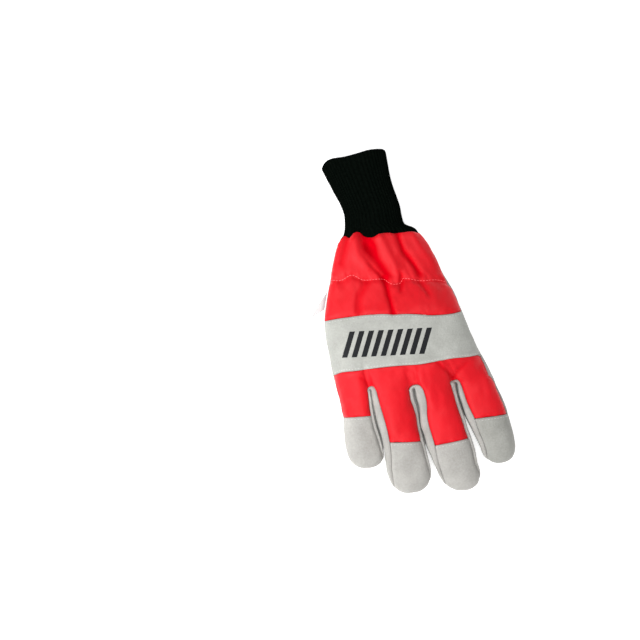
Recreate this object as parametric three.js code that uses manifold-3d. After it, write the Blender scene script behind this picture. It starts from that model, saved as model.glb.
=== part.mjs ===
// Work glove for the right hand, lying on its palm with the thumb tucked under.
// Millimetres, +Z up, back of the hand up, fingers towards -Y, knit cuff towards +Y.
import * as THREE from 'three';
import Module from 'manifold-3d';

// Driving sizes
const handWidth = 128;
const bodyLength = 134;
const cuffLength = 74;
const palmThick = 29;
const wallLeather = 1.8;
const wallWoven = 1.8;
const wallKnit = 2.6;
const wallLabel = 1;
const seamPull = 0.19;
const thumbLength = 66;
const thumbHalfWidth = 18.5;
const thumbHalfDepth = 7;
const thumbClear = 1.5;
const thumbFlat = 0.5;

// How finely the faces are cut
const fingerQuads = [5, 6, 6, 5];
const webQuads = 2;
const sideQuads = 4;

// Cross-section roundness, top and bottom, and where the silhouette lies in the height
const topPower = 2.3;
const underPower = 3.6;
const midShare = 0.44;
const flatCut = 0.35;

// Body sections from the knit seam (0) to the finger crotches (1).
// at: share of body length. left, right: edges as shares of hand width. thick: share of palm thickness.
const bodyTable = [
  { at: -0.552, left: -0.307, right: 0.16, thick: 0.52 },
  { at: -0.46, left: -0.285, right: 0.158, thick: 0.52 },
  { at: -0.33, left: -0.241, right: 0.1615, thick: 0.53 },
  { at: -0.18, left: -0.205, right: 0.182, thick: 0.56 },
  { at: -0.08, left: -0.214, right: 0.185, thick: 0.6 },
  { at: -0.04, left: -0.232, right: 0.195, thick: 0.63 },
  { at: -0.02, left: -0.249, right: 0.233, thick: 0.645 },
  { at: 0, left: -0.275, right: 0.26, thick: 0.67 },
  { at: 0.05, left: -0.305, right: 0.286, thick: 0.69 },
  { at: 0.119, left: -0.337, right: 0.322, thick: 0.72 },
  { at: 0.224, left: -0.38, right: 0.361, thick: 0.74 },
  { at: 0.306, left: -0.412, right: 0.378, thick: 0.8 },
  { at: 0.448, left: -0.463, right: 0.425, thick: 0.93 },
  { at: 0.571, left: -0.48, right: 0.447, thick: 1 },
  { at: 0.657, left: -0.485, right: 0.463, thick: 1 },
  { at: 0.841, left: -0.484, right: 0.509, thick: 0.98 },
  { at: 0.97, left: -0.475, right: 0.558, thick: 0.93 },
  { at: 1.03, left: -0.473, right: 0.576, thick: 0.9 },
];

// Lines across the back that the seams follow, from the cuff mouth to the crotches.
// left, right: share of body length from the knit seam at either edge. rows: rows of faces up to it.
const lineTable = [
  { name: 'mouth', left: -0.552, right: -0.545, rows: 0 },
  { name: 'cuff', left: -0.2, right: -0.2, rows: 3 },
  { name: 'knitSeam', left: 0, right: 0.036, rows: 3 },
  { name: 'elastic', left: 0.23, right: 0.392, rows: 5 },
  { name: 'bandUpper', left: 0.49, right: 0.585, rows: 4 },
  { name: 'bandLower', left: 0.838, right: 0.888, rows: 5 },
  { name: 'crotch', left: 0.97, right: 1.022, rows: 3 },
];

// Waves of the lines on the back. across: share of the width. up: mm towards the cuff.
const waveTables = {
  mouth: [
    { across: 0, up: -7 },
    { across: 0.046, up: -4.5 },
    { across: 0.11, up: -2.4 },
    { across: 0.2, up: -1.5 },
    { across: 0.377, up: -1.8 },
    { across: 0.55, up: -1 },
    { across: 0.742, up: 0.3 },
    { across: 0.872, up: 0.1 },
    { across: 0.97, up: -0.6 },
    { across: 1, up: -1.2 },
  ],
  knitSeam: [
    { across: 0, up: 1 },
    { across: 0.025, up: 3.3 },
    { across: 0.055, up: 5.3 },
    { across: 0.09, up: 6.1 },
    { across: 0.13, up: 3.7 },
    { across: 0.18, up: 6.5 },
    { across: 0.247, up: 7.9 },
    { across: 0.293, up: 6.6 },
    { across: 0.317, up: 3.6 },
    { across: 0.375, up: 1.5 },
    { across: 0.433, up: 1.6 },
    { across: 0.479, up: 3.4 },
    { across: 0.544, up: 4 },
    { across: 0.609, up: 3.8 },
    { across: 0.67, up: 2.9 },
    { across: 0.75, up: 2.3 },
    { across: 0.83, up: 2.4 },
    { across: 0.91, up: 2.1 },
    { across: 1, up: 0.4 },
  ],
  bandUpper: [
    { across: 0, up: 1.5 },
    { across: 0.07, up: 2.5 },
    { across: 0.165, up: 3.3 },
    { across: 0.26, up: 4 },
    { across: 0.352, up: 4 },
    { across: 0.435, up: 3.5 },
    { across: 0.508, up: 2.4 },
    { across: 0.582, up: 2.1 },
    { across: 0.673, up: 0.8 },
    { across: 0.763, up: -1 },
    { across: 0.856, up: -1.4 },
    { across: 0.93, up: -1.1 },
    { across: 1, up: 0.3 },
  ],
  bandLower: [
    { across: 0, up: 0.6 },
    { across: 0.06, up: 2.5 },
    { across: 0.138, up: 2.3 },
    { across: 0.214, up: 2.2 },
    { across: 0.29, up: 2.3 },
    { across: 0.366, up: 2 },
    { across: 0.441, up: 1.6 },
    { across: 0.516, up: 0.7 },
    { across: 0.59, up: 0.3 },
    { across: 0.8, up: 1.2 },
    { across: 0.9, up: 0.5 },
    { across: 1, up: 1 },
  ],
};

// Folds of the gathered wrist, each from one point to another. x, y: mm from the middle crotch.
// up: height, less than nothing for a valley. width: half width.
const foldTable = [
  { x0: -11, y0: 136, x1: -5, y1: 111, up: -4.4, width: 6 },
  { x0: -5, y0: 111, x1: 1, y1: 98, up: -3.4, width: 6 },
  { x0: -21, y0: 132, x1: -18, y1: 110, up: 1.6, width: 6 },
  { x0: -2, y0: 131, x1: 6, y1: 106, up: 1.5, width: 6 },
  { x0: 16, y0: 131, x1: 22, y1: 112, up: -2.6, width: 5 },
  { x0: 22, y0: 112, x1: 28, y1: 94, up: -2, width: 5 },
  { x0: -27, y0: 137, x1: -36, y1: 117, up: -1, width: 5 },
  { x0: -2, y0: 95, x1: -1, y1: 68, up: -2, width: 5 },
  { x0: -18, y0: 96, x1: -27, y1: 84, up: -1.1, width: 5 },
  { x0: 11, y0: 92, x1: 6, y1: 79, up: -1.1, width: 5 },
  { x0: 27, y0: 87, x1: 32, y1: 76, up: -1, width: 5 },
  { x0: -46, y0: 102, x1: 50, y1: 84, up: -1.5, width: 4 },
];

// Fingers from the crotch line (0) to where the tip starts to round (1).
// crotchLeft, crotchRight: mm of the seams past the middle crotch. reach: mm to where the tip rounds.
// tip: length of the rounding. lean: sideways shift of the tip. capLeft, capRight: mm to the cap seam.
// full: how full the outline of the tip is, 2 for an ellipse.
const fingers = [
  { name: 'little', crotchLeft: 4, crotchRight: 4, reach: 48, tip: 15.2, lean: 1.4,
    capLeft: 15.5, capRight: 18.5, thick: 21, full: 2.3 },
  { name: 'ring', crotchLeft: 4, crotchRight: -2.6, reach: 68, tip: 23.9, lean: 1.2,
    capLeft: 43, capRight: 48.5, thick: 24.5, full: 2.35 },
  { name: 'middle', crotchLeft: -3, crotchRight: -3.8, reach: 76, tip: 21.8, lean: 4,
    capLeft: 54, capRight: 53.2, thick: 25, full: 2.3 },
  { name: 'index', crotchLeft: -3.6, crotchRight: -3, reach: 64, tip: 17, lean: 1.2,
    capLeft: 37.4, capRight: 39.4, thick: 23, full: 2.15 },
];

// Finger sections. at: share of the reach. left, right: edges as shares of hand width.
// insetLeft, insetRight: mm from the edge to the seam of the top panel. thick: share of its thickness.
const fingerTables = [
  [
    { at: 0, left: -0.473, right: -0.2595, insetLeft: 0.3, insetRight: 1.3, thick: 1 },
    { at: 0.2, left: -0.4725, right: -0.26, insetLeft: 0.3, insetRight: 2.5, thick: 1 },
    { at: 0.4, left: -0.471, right: -0.259, insetLeft: 0.3, insetRight: 3, thick: 1 },
    { at: 0.6, left: -0.48, right: -0.2535, insetLeft: 0.3, insetRight: 3.4, thick: 0.99 },
    { at: 0.8, left: -0.487, right: -0.246, insetLeft: 0.3, insetRight: 2.7, thick: 0.98 },
    { at: 1, left: -0.487, right: -0.245, insetLeft: 0.3, insetRight: 2, thick: 0.94 },
  ],
  [
    { at: 0, left: -0.2525, right: 0.0265, insetLeft: 3.9, insetRight: 3.1, thick: 1 },
    { at: 0.12, left: -0.2555, right: 0.0275, insetLeft: 4.8, insetRight: 3.5, thick: 1 },
    { at: 0.23, left: -0.2567, right: 0.0365, insetLeft: 5.7, insetRight: 3.3, thick: 1 },
    { at: 0.36, left: -0.2553, right: 0.033, insetLeft: 6.5, insetRight: 1.9, thick: 0.99 },
    { at: 0.49, left: -0.2496, right: 0.0295, insetLeft: 6.7, insetRight: 1.6, thick: 0.97 },
    { at: 0.62, left: -0.2423, right: 0.0385, insetLeft: 6, insetRight: 3.2, thick: 0.96 },
    { at: 0.74, left: -0.2415, right: 0.0411, insetLeft: 5.7, insetRight: 2.9, thick: 0.94 },
    { at: 0.87, left: -0.2455, right: 0.0443, insetLeft: 5.2, insetRight: 2.6, thick: 0.91 },
    { at: 1, left: -0.2505, right: 0.0465, insetLeft: 4.2, insetRight: 2.2, thick: 0.88 },
  ],
  [
    { at: 0, left: 0.0345, right: 0.317, insetLeft: 7, insetRight: 4, thick: 1 },
    { at: 0.11, left: 0.035, right: 0.3184, insetLeft: 8.1, insetRight: 3.2, thick: 1 },
    { at: 0.21, left: 0.0425, right: 0.3223, insetLeft: 7.1, insetRight: 3.2, thick: 1 },
    { at: 0.335, left: 0.037, right: 0.3309, insetLeft: 6.3, insetRight: 3.2, thick: 0.99 },
    { at: 0.456, left: 0.0332, right: 0.3408, insetLeft: 6.7, insetRight: 3, thick: 0.97 },
    { at: 0.579, left: 0.0422, right: 0.3466, insetLeft: 6.4, insetRight: 3, thick: 0.95 },
    { at: 0.7, left: 0.0455, right: 0.3579, insetLeft: 6.9, insetRight: 2.9, thick: 0.93 },
    { at: 0.82, left: 0.062, right: 0.3663, insetLeft: 4.9, insetRight: 2.7, thick: 0.91 },
    { at: 0.92, left: 0.073, right: 0.3674, insetLeft: 3.7, insetRight: 2.5, thick: 0.89 },
    { at: 1, left: 0.085, right: 0.366, insetLeft: 2.8, insetRight: 2.4, thick: 0.88 },
  ],
  [
    { at: 0, left: 0.3255, right: 0.5785, insetLeft: 2.4, insetRight: 2.6, thick: 1 },
    { at: 0.1, left: 0.3232, right: 0.5873, insetLeft: 3.9, insetRight: 1.7, thick: 1 },
    { at: 0.2, left: 0.3225, right: 0.5965, insetLeft: 4.8, insetRight: 1, thick: 1 },
    { at: 0.327, left: 0.3305, right: 0.6105, insetLeft: 4.7, insetRight: 0.5, thick: 0.99 },
    { at: 0.451, left: 0.3365, right: 0.6236, insetLeft: 5.7, insetRight: 0.3, thick: 0.97 },
    { at: 0.588, left: 0.3465, right: 0.6324, insetLeft: 6.5, insetRight: 0.3, thick: 0.95 },
    { at: 0.695, left: 0.364, right: 0.6364, insetLeft: 5.2, insetRight: 0.3, thick: 0.93 },
    { at: 0.8, left: 0.378, right: 0.6382, insetLeft: 4.6, insetRight: 0.3, thick: 0.91 },
    { at: 0.91, left: 0.394, right: 0.6397, insetLeft: 4.2, insetRight: 0.3, thick: 0.9 },
    { at: 1, left: 0.406, right: 0.641, insetLeft: 3.5, insetRight: 0.3, thick: 0.88 },
  ],
];
const crotches = [
  { tip: 7.4, slit: -0.256, bulge: 2.7 },
  { tip: 1.1, slit: 0.0305, bulge: 2.7 },
  { tip: -1.2, slit: 0.3213, bulge: 3.2 },
];
const underInset = 2.6;
const webDip = 2.2;
const blendBefore = 26;
const blendAfter = 12;
const tipRows = [0, 0.3, 0.6, 0.85, 1];
const sideEndRow = 2;

// Thumb hole in the palm, and the way the thumb runs under it. across, along: mm from the middle crotch.
const hole = { across: 32, along: 42, halfAlong: 13, halfAcross: 17 };
const thumbWay = new THREE.Vector2(-0.9, -0.436).normalize();
const liftHeight = thumbClear + 2 * thumbHalfDepth;
const liftFlat = 20;
const liftFall = 38;
const liftTopShare = 0.62;

// Corners of the care label, from the middle of its sewn edge round its free end.
// along: share of body length. out: mm out of the side edge. drop: mm below the side edge.
const labelTable = [
  { along: 0.405, out: 0.7, drop: 0.2 },
  { along: 0.293, out: 0.7, drop: 0 },
  { along: 0.436, out: 12, drop: 4.5 },
  { along: 0.491, out: 3.6, drop: 3 },
  { along: 0.504, out: 0.7, drop: 0.3 },
];

const lerp = (a, b, f) => a + (b - a) * f;
const clamp = (v, low, high) => Math.min(high, Math.max(low, v));

function smooth(low, high, v) {
  const f = clamp((v - low) / (high - low), 0, 1);
  return f * f * (3 - 2 * f);
}

// Smooth reading of one named column of a table at a value of its key column.
function read(table, key, name, value) {
  const last = table.length - 1;
  let i = 0;
  while (i < last - 1 && value > table[i + 1][key]) i += 1;
  const a = table[i];
  const b = table[i + 1];
  const span = b[key] - a[key];
  const f = clamp((value - a[key]) / span, 0, 1);
  const before = table[Math.max(0, i - 1)];
  const after = table[Math.min(last, i + 2)];
  const slopeA = (b[name] - before[name]) / (b[key] - before[key]);
  const slopeB = (after[name] - a[name]) / (after[key] - a[key]);
  const f2 = f * f;
  const f3 = f2 * f;
  return (2 * f3 - 3 * f2 + 1) * a[name] + (f3 - 2 * f2 + f) * span * slopeA
    + (3 * f2 - 2 * f3) * b[name] + (f3 - f2) * span * slopeB;
}

const alongOf = (y) => (bodyLength - y) / bodyLength;
const yOf = (along) => (along > 0 ? bodyLength * (1 - along)
  : bodyLength - along * cuffLength / 0.552);
const bodyAt = (name, y) => {
  const along = y > bodyLength ? (bodyLength - y) * 0.552 / cuffLength : alongOf(y);
  return read(bodyTable, 'at', name, along);
};
const edgeLeft = (y) => handWidth * bodyAt('left', y);
const edgeRight = (y) => handWidth * bodyAt('right', y);

function profile(t, power) {
  return Math.pow(Math.max(0, 1 - Math.pow(Math.min(1, Math.abs(t)), power)), 1 / power);
}

// Height of a section of the given thickness at a share t (-1..1) of its half width.
function sectionHeight(thick, t, under) {
  const mid = thick * midShare;
  if (under) return mid - mid * profile(t, underPower);
  return mid + (thick - mid) * profile(t, topPower);
}

// Shares t of a side from its upper seam, over the silhouette, to its lower seam.
function sideShares(upper, lower) {
  const list = [];
  const half = sideQuads / 2;
  const angleTop = Math.acos(Math.pow(clamp(upper, 0, 1), topPower / 2));
  const angleUnder = Math.acos(Math.pow(clamp(lower, 0, 1), underPower / 2));
  for (let q = 0; q <= sideQuads; q += 1) {
    const top = q <= half;
    const f = top ? 1 - q / half : (q - half) / half;
    const power = top ? topPower : underPower;
    const angle = (top ? angleTop : angleUnder) * f;
    list.push({ t: Math.pow(Math.cos(angle), 2 / power), under: !top });
  }
  return list;
}

function foldHeight(x, y) {
  let sum = 0;
  for (const fold of foldTable) {
    const dx = fold.x1 - fold.x0;
    const dy = fold.y1 - fold.y0;
    const f = clamp(((x - fold.x0) * dx + (y - fold.y0) * dy) / (dx * dx + dy * dy), 0, 1);
    const far = Math.hypot(x - fold.x0 - f * dx, y - fold.y0 - f * dy) / fold.width;
    sum += fold.up * Math.exp(-far * far * 1.6);
  }
  return sum;
}

// How far the palm is lifted by the thumb that lies under it.
function lift(x, y) {
  const dx = x - hole.across;
  const dy = y - hole.along;
  const reach = thumbLength - 12;
  const f = clamp((dx * thumbWay.x + dy * thumbWay.y) / reach, 0, 1);
  const far = Math.hypot(dx - f * reach * thumbWay.x, dy - f * reach * thumbWay.y);
  return liftHeight * (1 - smooth(liftFlat, liftFlat + liftFall, far));
}

// The outer skin: points by name, and faces that each belong to a piece.
const points = [];
const names = new Map();
const faces = [];

function place(name, x, y, z, thick) {
  if (names.has(name)) return names.get(name);
  const share = lerp(1, liftTopShare, clamp(z / thick, 0, 1));
  const flat = Math.max(0, z - flatCut);
  points.push(new THREE.Vector3(x, y, flat + share * lift(x, y)));
  names.set(name, points.length - 1);
  return points.length - 1;
}

function quad(piece, a, b, c, d) {
  const ring = [a, b, c, d].filter((v, i, list) => v !== list[(i + 1) % list.length]);
  for (let i = 1; i + 1 < ring.length; i += 1) {
    if (ring[0] !== ring[i + 1]) faces.push({ piece, v: [ring[0], ring[i], ring[i + 1]] });
  }
}

// Columns over the back and the palm. A finger column knows its share u (0..1) between its seams,
// a web column its share between two fingers.
const columns = [];
fingers.forEach((finger, f) => {
  for (let i = 0; i <= fingerQuads[f]; i += 1) columns.push({ finger: f, u: i / fingerQuads[f] });
  if (f === fingers.length - 1) return;
  for (let i = 1; i < webQuads; i += 1) columns.push({ web: f, u: i / webQuads });
});

function fingerSection(f, at) {
  const table = fingerTables[f];
  const left = handWidth * read(table, 'at', 'left', at);
  const right = handWidth * read(table, 'at', 'right', at);
  const half = (right - left) / 2;
  const thick = fingers[f].thick * palmThick / 29 * read(table, 'at', 'thick', at);
  return { middle: (left + right) / 2, half, thick,
    seamLeft: 1 - read(table, 'at', 'insetLeft', at) / half,
    seamRight: 1 - read(table, 'at', 'insetRight', at) / half };
}

const outer = (f, right) => (right ? f === fingers.length - 1 : f === 0);
const underSeam = (section, f, right) => 1 - (outer(f, right) ? 2.2 : 1) * underInset / section.half;

function columnShare(column, section, under) {
  const f = column.finger;
  const low = under ? -underSeam(section, f, false) : -section.seamLeft;
  const high = under ? underSeam(section, f, true) : section.seamRight;
  return lerp(low, high, column.u);
}

// Where a column meets the crotch line.
function crotchPoint(column, under) {
  if (column.finger !== undefined) {
    const finger = fingers[column.finger];
    const section = fingerSection(column.finger, 0);
    const t = columnShare(column, section, under);
    return { x: section.middle + t * section.half,
      y: lerp(finger.crotchLeft, finger.crotchRight, column.u),
      z: sectionHeight(section.thick, t, under) };
  }
  const a = crotchPoint({ finger: column.web, u: 1 }, under);
  const b = crotchPoint({ finger: column.web + 1, u: 0 }, under);
  const arch = Math.sqrt(1 - (2 * column.u - 1) ** 2);
  return { x: lerp(a.x, b.x, column.u),
    y: lerp(lerp(a.y, b.y, column.u), crotches[column.web].tip, arch),
    z: lerp(a.z, b.z, column.u) - (under ? -0.6 : 1) * webDip * arch };
}

const bodyLeft = handWidth * fingerTables[0][0].left;
const bodyRight = handWidth * fingerTables[3][0].right;

function lineY(line, across, under) {
  const base = lerp(yOf(line.left), yOf(line.right), across);
  const wave = waveTables[line.name];
  if (!wave || (under && line.name !== 'mouth')) return base;
  return base + read(wave, 'across', 'up', across);
}

// One row of the body: f of the way from line a to line b.
function bodyRow(row, a, b, f) {
  const yAt = (column, across, under) => {
    const from = lineY(a, across, under);
    if (b.name !== 'crotch') return lerp(from, lineY(b, across, under), f);
    return lerp(from, column.y, f);
  };
  const bodyPoint = (name, meet, t, under, folded) => {
    const across = (t + 1) / 2;
    const y = yAt(meet, across, under);
    const left = edgeLeft(yAt({ y: fingers[0].crotchLeft }, 0, true));
    const right = edgeRight(yAt({ y: fingers[3].crotchRight }, 1, true));
    const x = lerp(left, right, across);
    const thick = palmThick * bodyAt('thick', y);
    let z = sectionHeight(thick, t, under);
    const mix = 1 - smooth(-blendAfter, blendBefore, y - meet.y);
    if (meet.z !== undefined) z = lerp(z, meet.z, mix);
    if (!under && folded) z += foldHeight(x, y) * smooth(0.03, 0.2, 1 - Math.abs(t));
    return place(name, x, y, z, thick);
  };
  const shareOf = (meet) => 2 * (meet.x - bodyLeft) / (bodyRight - bodyLeft) - 1;
  const top = [];
  const under = [];
  columns.forEach((column, c) => {
    const up = crotchPoint(column, false);
    const low = crotchPoint(column, true);
    top.push(bodyPoint(`B${row}T${c}`, up, shareOf(up), false, true));
    under.push(bodyPoint(`B${row}U${c}`, low, shareOf(low), true, true));
  });
  const sides = [0, 1].map((right) => {
    const column = columns[right ? columns.length - 1 : 0];
    const up = crotchPoint(column, false);
    const low = crotchPoint(column, true);
    const shares = sideShares(Math.abs(shareOf(up)), Math.abs(shareOf(low)));
    return shares.map((share, q) => {
      if (q === 0) return right ? top[top.length - 1] : top[0];
      if (q === sideQuads) return right ? under[under.length - 1] : under[0];
      const t = right ? share.t : -share.t;
      return bodyPoint(`B${row}S${right}${q}`, { y: share.under ? low.y : up.y }, t, share.under, false);
    });
  });
  return { top, under, sides };
}

const bodyRows = [];
let rowCount = 0;
for (let i = 0; i < lineTable.length; i += 1) {
  const line = lineTable[i];
  const from = lineTable[Math.max(0, i - 1)];
  const count = Math.max(1, line.rows);
  for (let r = 1; r <= count; r += 1) {
    bodyRows.push({ ...bodyRow(rowCount, from, line, i === 0 ? 1 : r / count), zone: line.name });
    rowCount += 1;
  }
}
const backPiece = { cuff: 'cuff_knit', knitSeam: 'cuff_knit', elastic: 'wrist_panel',
  bandUpper: 'wrist_panel', bandLower: 'knuckle_band', crotch: 'back_panel' };
for (let r = 0; r + 1 < bodyRows.length; r += 1) {
  const a = bodyRows[r];
  const b = bodyRows[r + 1];
  const piece = backPiece[b.zone];
  const low = piece === 'cuff_knit' ? piece : 'palm';
  for (let c = 0; c + 1 < columns.length; c += 1) {
    quad(piece, a.top[c], b.top[c], b.top[c + 1], a.top[c + 1]);
    quad(low, a.under[c], a.under[c + 1], b.under[c + 1], b.under[c]);
  }
  for (let q = 0; q < sideQuads; q += 1) {
    const left = [a.sides[0], b.sides[0]];
    const right = [a.sides[1], b.sides[1]];
    const side = q < sideQuads / 2 && b.zone !== 'crotch' ? piece : low;
    quad(side, left[0][q], left[0][q + 1], left[1][q + 1], left[1][q]);
    quad(side, right[0][q], right[1][q], right[1][q + 1], right[0][q + 1]);
  }
}

// How far the outline of a fuller tip lies from the middle in a direction, 1 for an ellipse.
const tipFullness = (c, s, power) => Math.pow(Math.abs(c) ** power + Math.abs(s) ** power, -1 / power);

// One row of a finger. at: share of its reach, over 1 in the rounding, where r is its share of that.
function fingerRow(f, row, at, r, lineOf) {
  const finger = fingers[f];
  const section = fingerSection(f, Math.min(1, at));
  const ended = r >= tipRows[sideEndRow] - 1e-6;
  const narrow = r > 0 ? 1 - Math.min(1, r / tipRows[sideEndRow]) : 1;
  const seams = {
    left: 1 - (1 - section.seamLeft) * narrow,
    right: 1 - (1 - section.seamRight) * narrow,
    underLeft: 1 - (1 - underSeam(section, f, false)) * narrow,
    underRight: 1 - (1 - underSeam(section, f, true)) * narrow,
  };
  const bodyTop = (x, y) => {
    const t = 2 * (x - bodyLeft) / (bodyRight - bodyLeft) - 1;
    return { t, thick: palmThick * bodyAt('thick', Math.max(y, -4)) };
  };
  const spot = (t, under) => {
    const discX = t * Math.sqrt(1 - r * r / 2);
    const discY = r * Math.sqrt(1 - t * t / 2);
    const round = Math.hypot(discX, discY);
    const full = round > 0 ? tipFullness(discX / round, discY / round, finger.full) : 1;
    const x = section.middle + finger.lean * discY + discX * full * section.half;
    const y = lineOf(t) - discY * full * finger.tip;
    let z = sectionHeight(section.thick, Math.min(1, round), under);
    const start = lerp(finger.crotchLeft, finger.crotchRight, (t + 1) / 2);
    const mix = 1 - smooth(-blendAfter, blendBefore, y - start);
    const body = bodyTop(x, y);
    if (Math.abs(body.t) <= 1) z = lerp(sectionHeight(body.thick, body.t, under), z, mix);
    return { x, y, z };
  };
  const put = (name, p) => place(name, p.x, p.y, p.z, section.thick);
  const last = r === 1;
  const count = fingerQuads[f];
  const top = [];
  const under = [];
  for (let c = 0; c <= count; c += 1) {
    const u = c / count;
    const edge = ended && (c === 0 || c === count);
    const tag = last || edge ? `F${f}R${row}E${c}` : '';
    top.push(put(tag || `F${f}R${row}T${c}`, spot(lerp(-seams.left, seams.right, u), false)));
    under.push(put(tag || `F${f}R${row}U${c}`, spot(lerp(-seams.underLeft, seams.underRight, u), true)));
  }
  const sides = [0, 1].map((right) => {
    const c = right ? count : 0;
    const sign = right ? 1 : -1;
    const upper = spot(sign * (right ? seams.right : seams.left), false);
    const lower = spot(sign * (right ? seams.underRight : seams.underLeft), true);
    const shares = sideShares(right ? seams.right : seams.left,
      right ? seams.underRight : seams.underLeft);
    const plain = (share) => sectionHeight(section.thick, share.t, share.under);
    return shares.map((share, q) => {
      if (q === 0) return top[c];
      if (q === sideQuads) return under[c];
      if (ended) return top[c];
      const p = spot(sign * share.t, share.under);
      const f0 = plain(shares[0]);
      const f1 = plain(shares[sideQuads]);
      p.z = lerp(upper.z, lower.z, (plain(share) - f0) / (f1 - f0));
      return put(`F${f}R${row}S${right}${q}`, p);
    });
  });
  return { top, under, sides };
}

const crotchRow = bodyRows[bodyRows.length - 1];
const fingerRows = fingers.map((finger, f) => {
  const first = columns.findIndex((column) => column.finger === f);
  const cut = (list) => list.slice(first, first + fingerQuads[f] + 1);
  const lineStart = (t) => lerp(finger.crotchLeft, finger.crotchRight, (t + 1) / 2);
  const lineCap = (t) => -lerp(finger.capLeft, finger.capRight, (t + 1) / 2);
  const lineEnd = () => -finger.reach;
  const start = fingerRow(f, 0, 0, 0, lineStart);
  const own = { top: cut(crotchRow.top), under: cut(crotchRow.under), sides: start.sides };
  own.sides = [0, 1].map((right) => {
    if (outer(f, right)) return crotchRow.sides[right];
    const side = start.sides[right].slice();
    side[0] = right ? own.top[own.top.length - 1] : own.top[0];
    side[sideQuads] = right ? own.under[own.under.length - 1] : own.under[0];
    return side;
  });
  const rows = [{ ...own, zone: 'start' }];
  const capAt = (finger.capLeft + finger.capRight) / 2 / finger.reach;
  const stripRows = Math.max(2, Math.round(capAt * finger.reach / 10));
  const capRows = Math.max(2, Math.round((1 - capAt) * finger.reach / 9));
  for (let i = 1; i <= stripRows; i += 1) {
    const g = i / stripRows;
    const line = (t) => lerp(lineStart(t), lineCap(t), g);
    rows.push({ ...fingerRow(f, rows.length, capAt * g, 0, line), zone: 'strip' });
  }
  for (let i = 1; i <= capRows; i += 1) {
    const g = i / capRows;
    const line = (t) => lerp(lineCap(t), lineEnd(t), g);
    rows.push({ ...fingerRow(f, rows.length, lerp(capAt, 1, g), 0, line), zone: 'cap' });
  }
  for (const r of tipRows.slice(1)) {
    rows.push({ ...fingerRow(f, rows.length, 1, r, lineEnd), zone: 'cap' });
  }
  return rows;
});

const sideName = (f, right) => {
  if (outer(f, right)) return 'palm';
  const low = right ? f : f - 1;
  return `fourchette_${fingers[low].name}_${fingers[low + 1].name}`;
};
fingerRows.forEach((rows, f) => {
  for (let r = 0; r + 1 < rows.length; r += 1) {
    const a = rows[r];
    const b = rows[r + 1];
    const piece = b.zone === 'cap' ? `tip_cap_${fingers[f].name}` : 'back_panel';
    for (let c = 0; c < fingerQuads[f]; c += 1) {
      quad(piece, a.top[c], b.top[c], b.top[c + 1], a.top[c + 1]);
      quad('palm', a.under[c], a.under[c + 1], b.under[c + 1], b.under[c]);
    }
    for (let q = 0; q < sideQuads; q += 1) {
      quad(sideName(f, false), a.sides[0][q], a.sides[0][q + 1], b.sides[0][q + 1], b.sides[0][q]);
      quad(sideName(f, true), a.sides[1][q], b.sides[1][q], b.sides[1][q + 1], a.sides[1][q + 1]);
    }
  }
});

// The turn of each fourchette round its crotch.
crotches.forEach((crotch, g) => {
  const piece = sideName(g, true);
  const base = columns.findIndex((column) => column.web === g);
  const path = [fingerRows[g][0].sides[1]];
  for (let i = 1; i < webQuads; i += 1) {
    const top = crotchRow.top[base + i - 1];
    const under = crotchRow.under[base + i - 1];
    const a = points[top];
    const b = points[under];
    const u = i / webQuads;
    const line = [];
    for (let q = 0; q <= sideQuads; q += 1) {
      const f = q / sideQuads;
      if (q === 0) line.push(top);
      else if (q === sideQuads) line.push(under);
      else {
        const out = Math.sin(Math.PI * f);
        const z = lerp(a.z, b.z, (1 - Math.cos(Math.PI * f)) / 2);
        const x = lerp(lerp(a.x, b.x, f), crotch.slit * handWidth + (u - 0.5) * 0.9, out);
        points.push(new THREE.Vector3(x, lerp(a.y, b.y, f) - crotch.bulge * out, z));
        line.push(points.length - 1);
      }
    }
    path.push(line);
  }
  path.push(fingerRows[g + 1][0].sides[0]);
  for (let i = 0; i + 1 < path.length; i += 1) {
    const a = path[i];
    const b = path[i + 1];
    for (let q = 0; q < sideQuads; q += 1) quad(piece, b[q], a[q], a[q + 1], b[q + 1]);
  }
});

function normalsOf(list) {
  const normals = points.map(() => new THREE.Vector3());
  for (const face of list) {
    const [a, b, c] = face.v.map((v) => points[v]);
    const n = b.clone().sub(a).cross(c.clone().sub(a));
    face.v.forEach((v) => normals[v].add(n));
  }
  normals.forEach((n) => n.normalize());
  return normals;
}

// Closes a patch of the skin into a wall: pulled back a little at its edges, thickened inwards.
function wallOf(list, normals, thick, pull) {
  const used = [...new Set(list.flatMap((face) => face.v))];
  const index = new Map(used.map((v, i) => [v, i]));
  const edges = new Map();
  for (const face of list) {
    for (let i = 0; i < 3; i += 1) {
      const a = face.v[i];
      const b = face.v[(i + 1) % 3];
      if (edges.has(`${b},${a}`)) edges.delete(`${b},${a}`);
      else edges.set(`${a},${b}`, [a, b]);
    }
  }
  const pulls = new Map();
  for (const [a, b] of edges.values()) {
    const way = points[b].clone().sub(points[a]);
    for (const v of [a, b]) {
      const inward = normals[v].clone().cross(way).normalize();
      if (!pulls.has(v)) pulls.set(v, []);
      pulls.get(v).push(inward);
    }
  }
  const position = [];
  for (const side of [0, 1]) {
    for (const v of used) {
      const p = points[v].clone().addScaledVector(normals[v], -side * thick);
      for (const inward of pulls.get(v) || []) {
        const share = pulls.get(v).length > 1 ? 0.6 : 1;
        p.addScaledVector(inward, pull * share);
      }
      position.push(p.x, p.y, p.z);
    }
  }
  const n = used.length;
  const cells = [];
  for (const face of list) {
    const [a, b, c] = face.v.map((v) => index.get(v));
    cells.push(a, b, c, a + n, c + n, b + n);
  }
  for (const [a, b] of edges.values()) {
    const i = index.get(a);
    const j = index.get(b);
    cells.push(i, i + n, j + n, i, j + n, j);
  }
  const geometry = new THREE.BufferGeometry();
  geometry.setAttribute('position', new THREE.Float32BufferAttribute(position, 3));
  geometry.setIndex(cells);
  return geometry;
}

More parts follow.
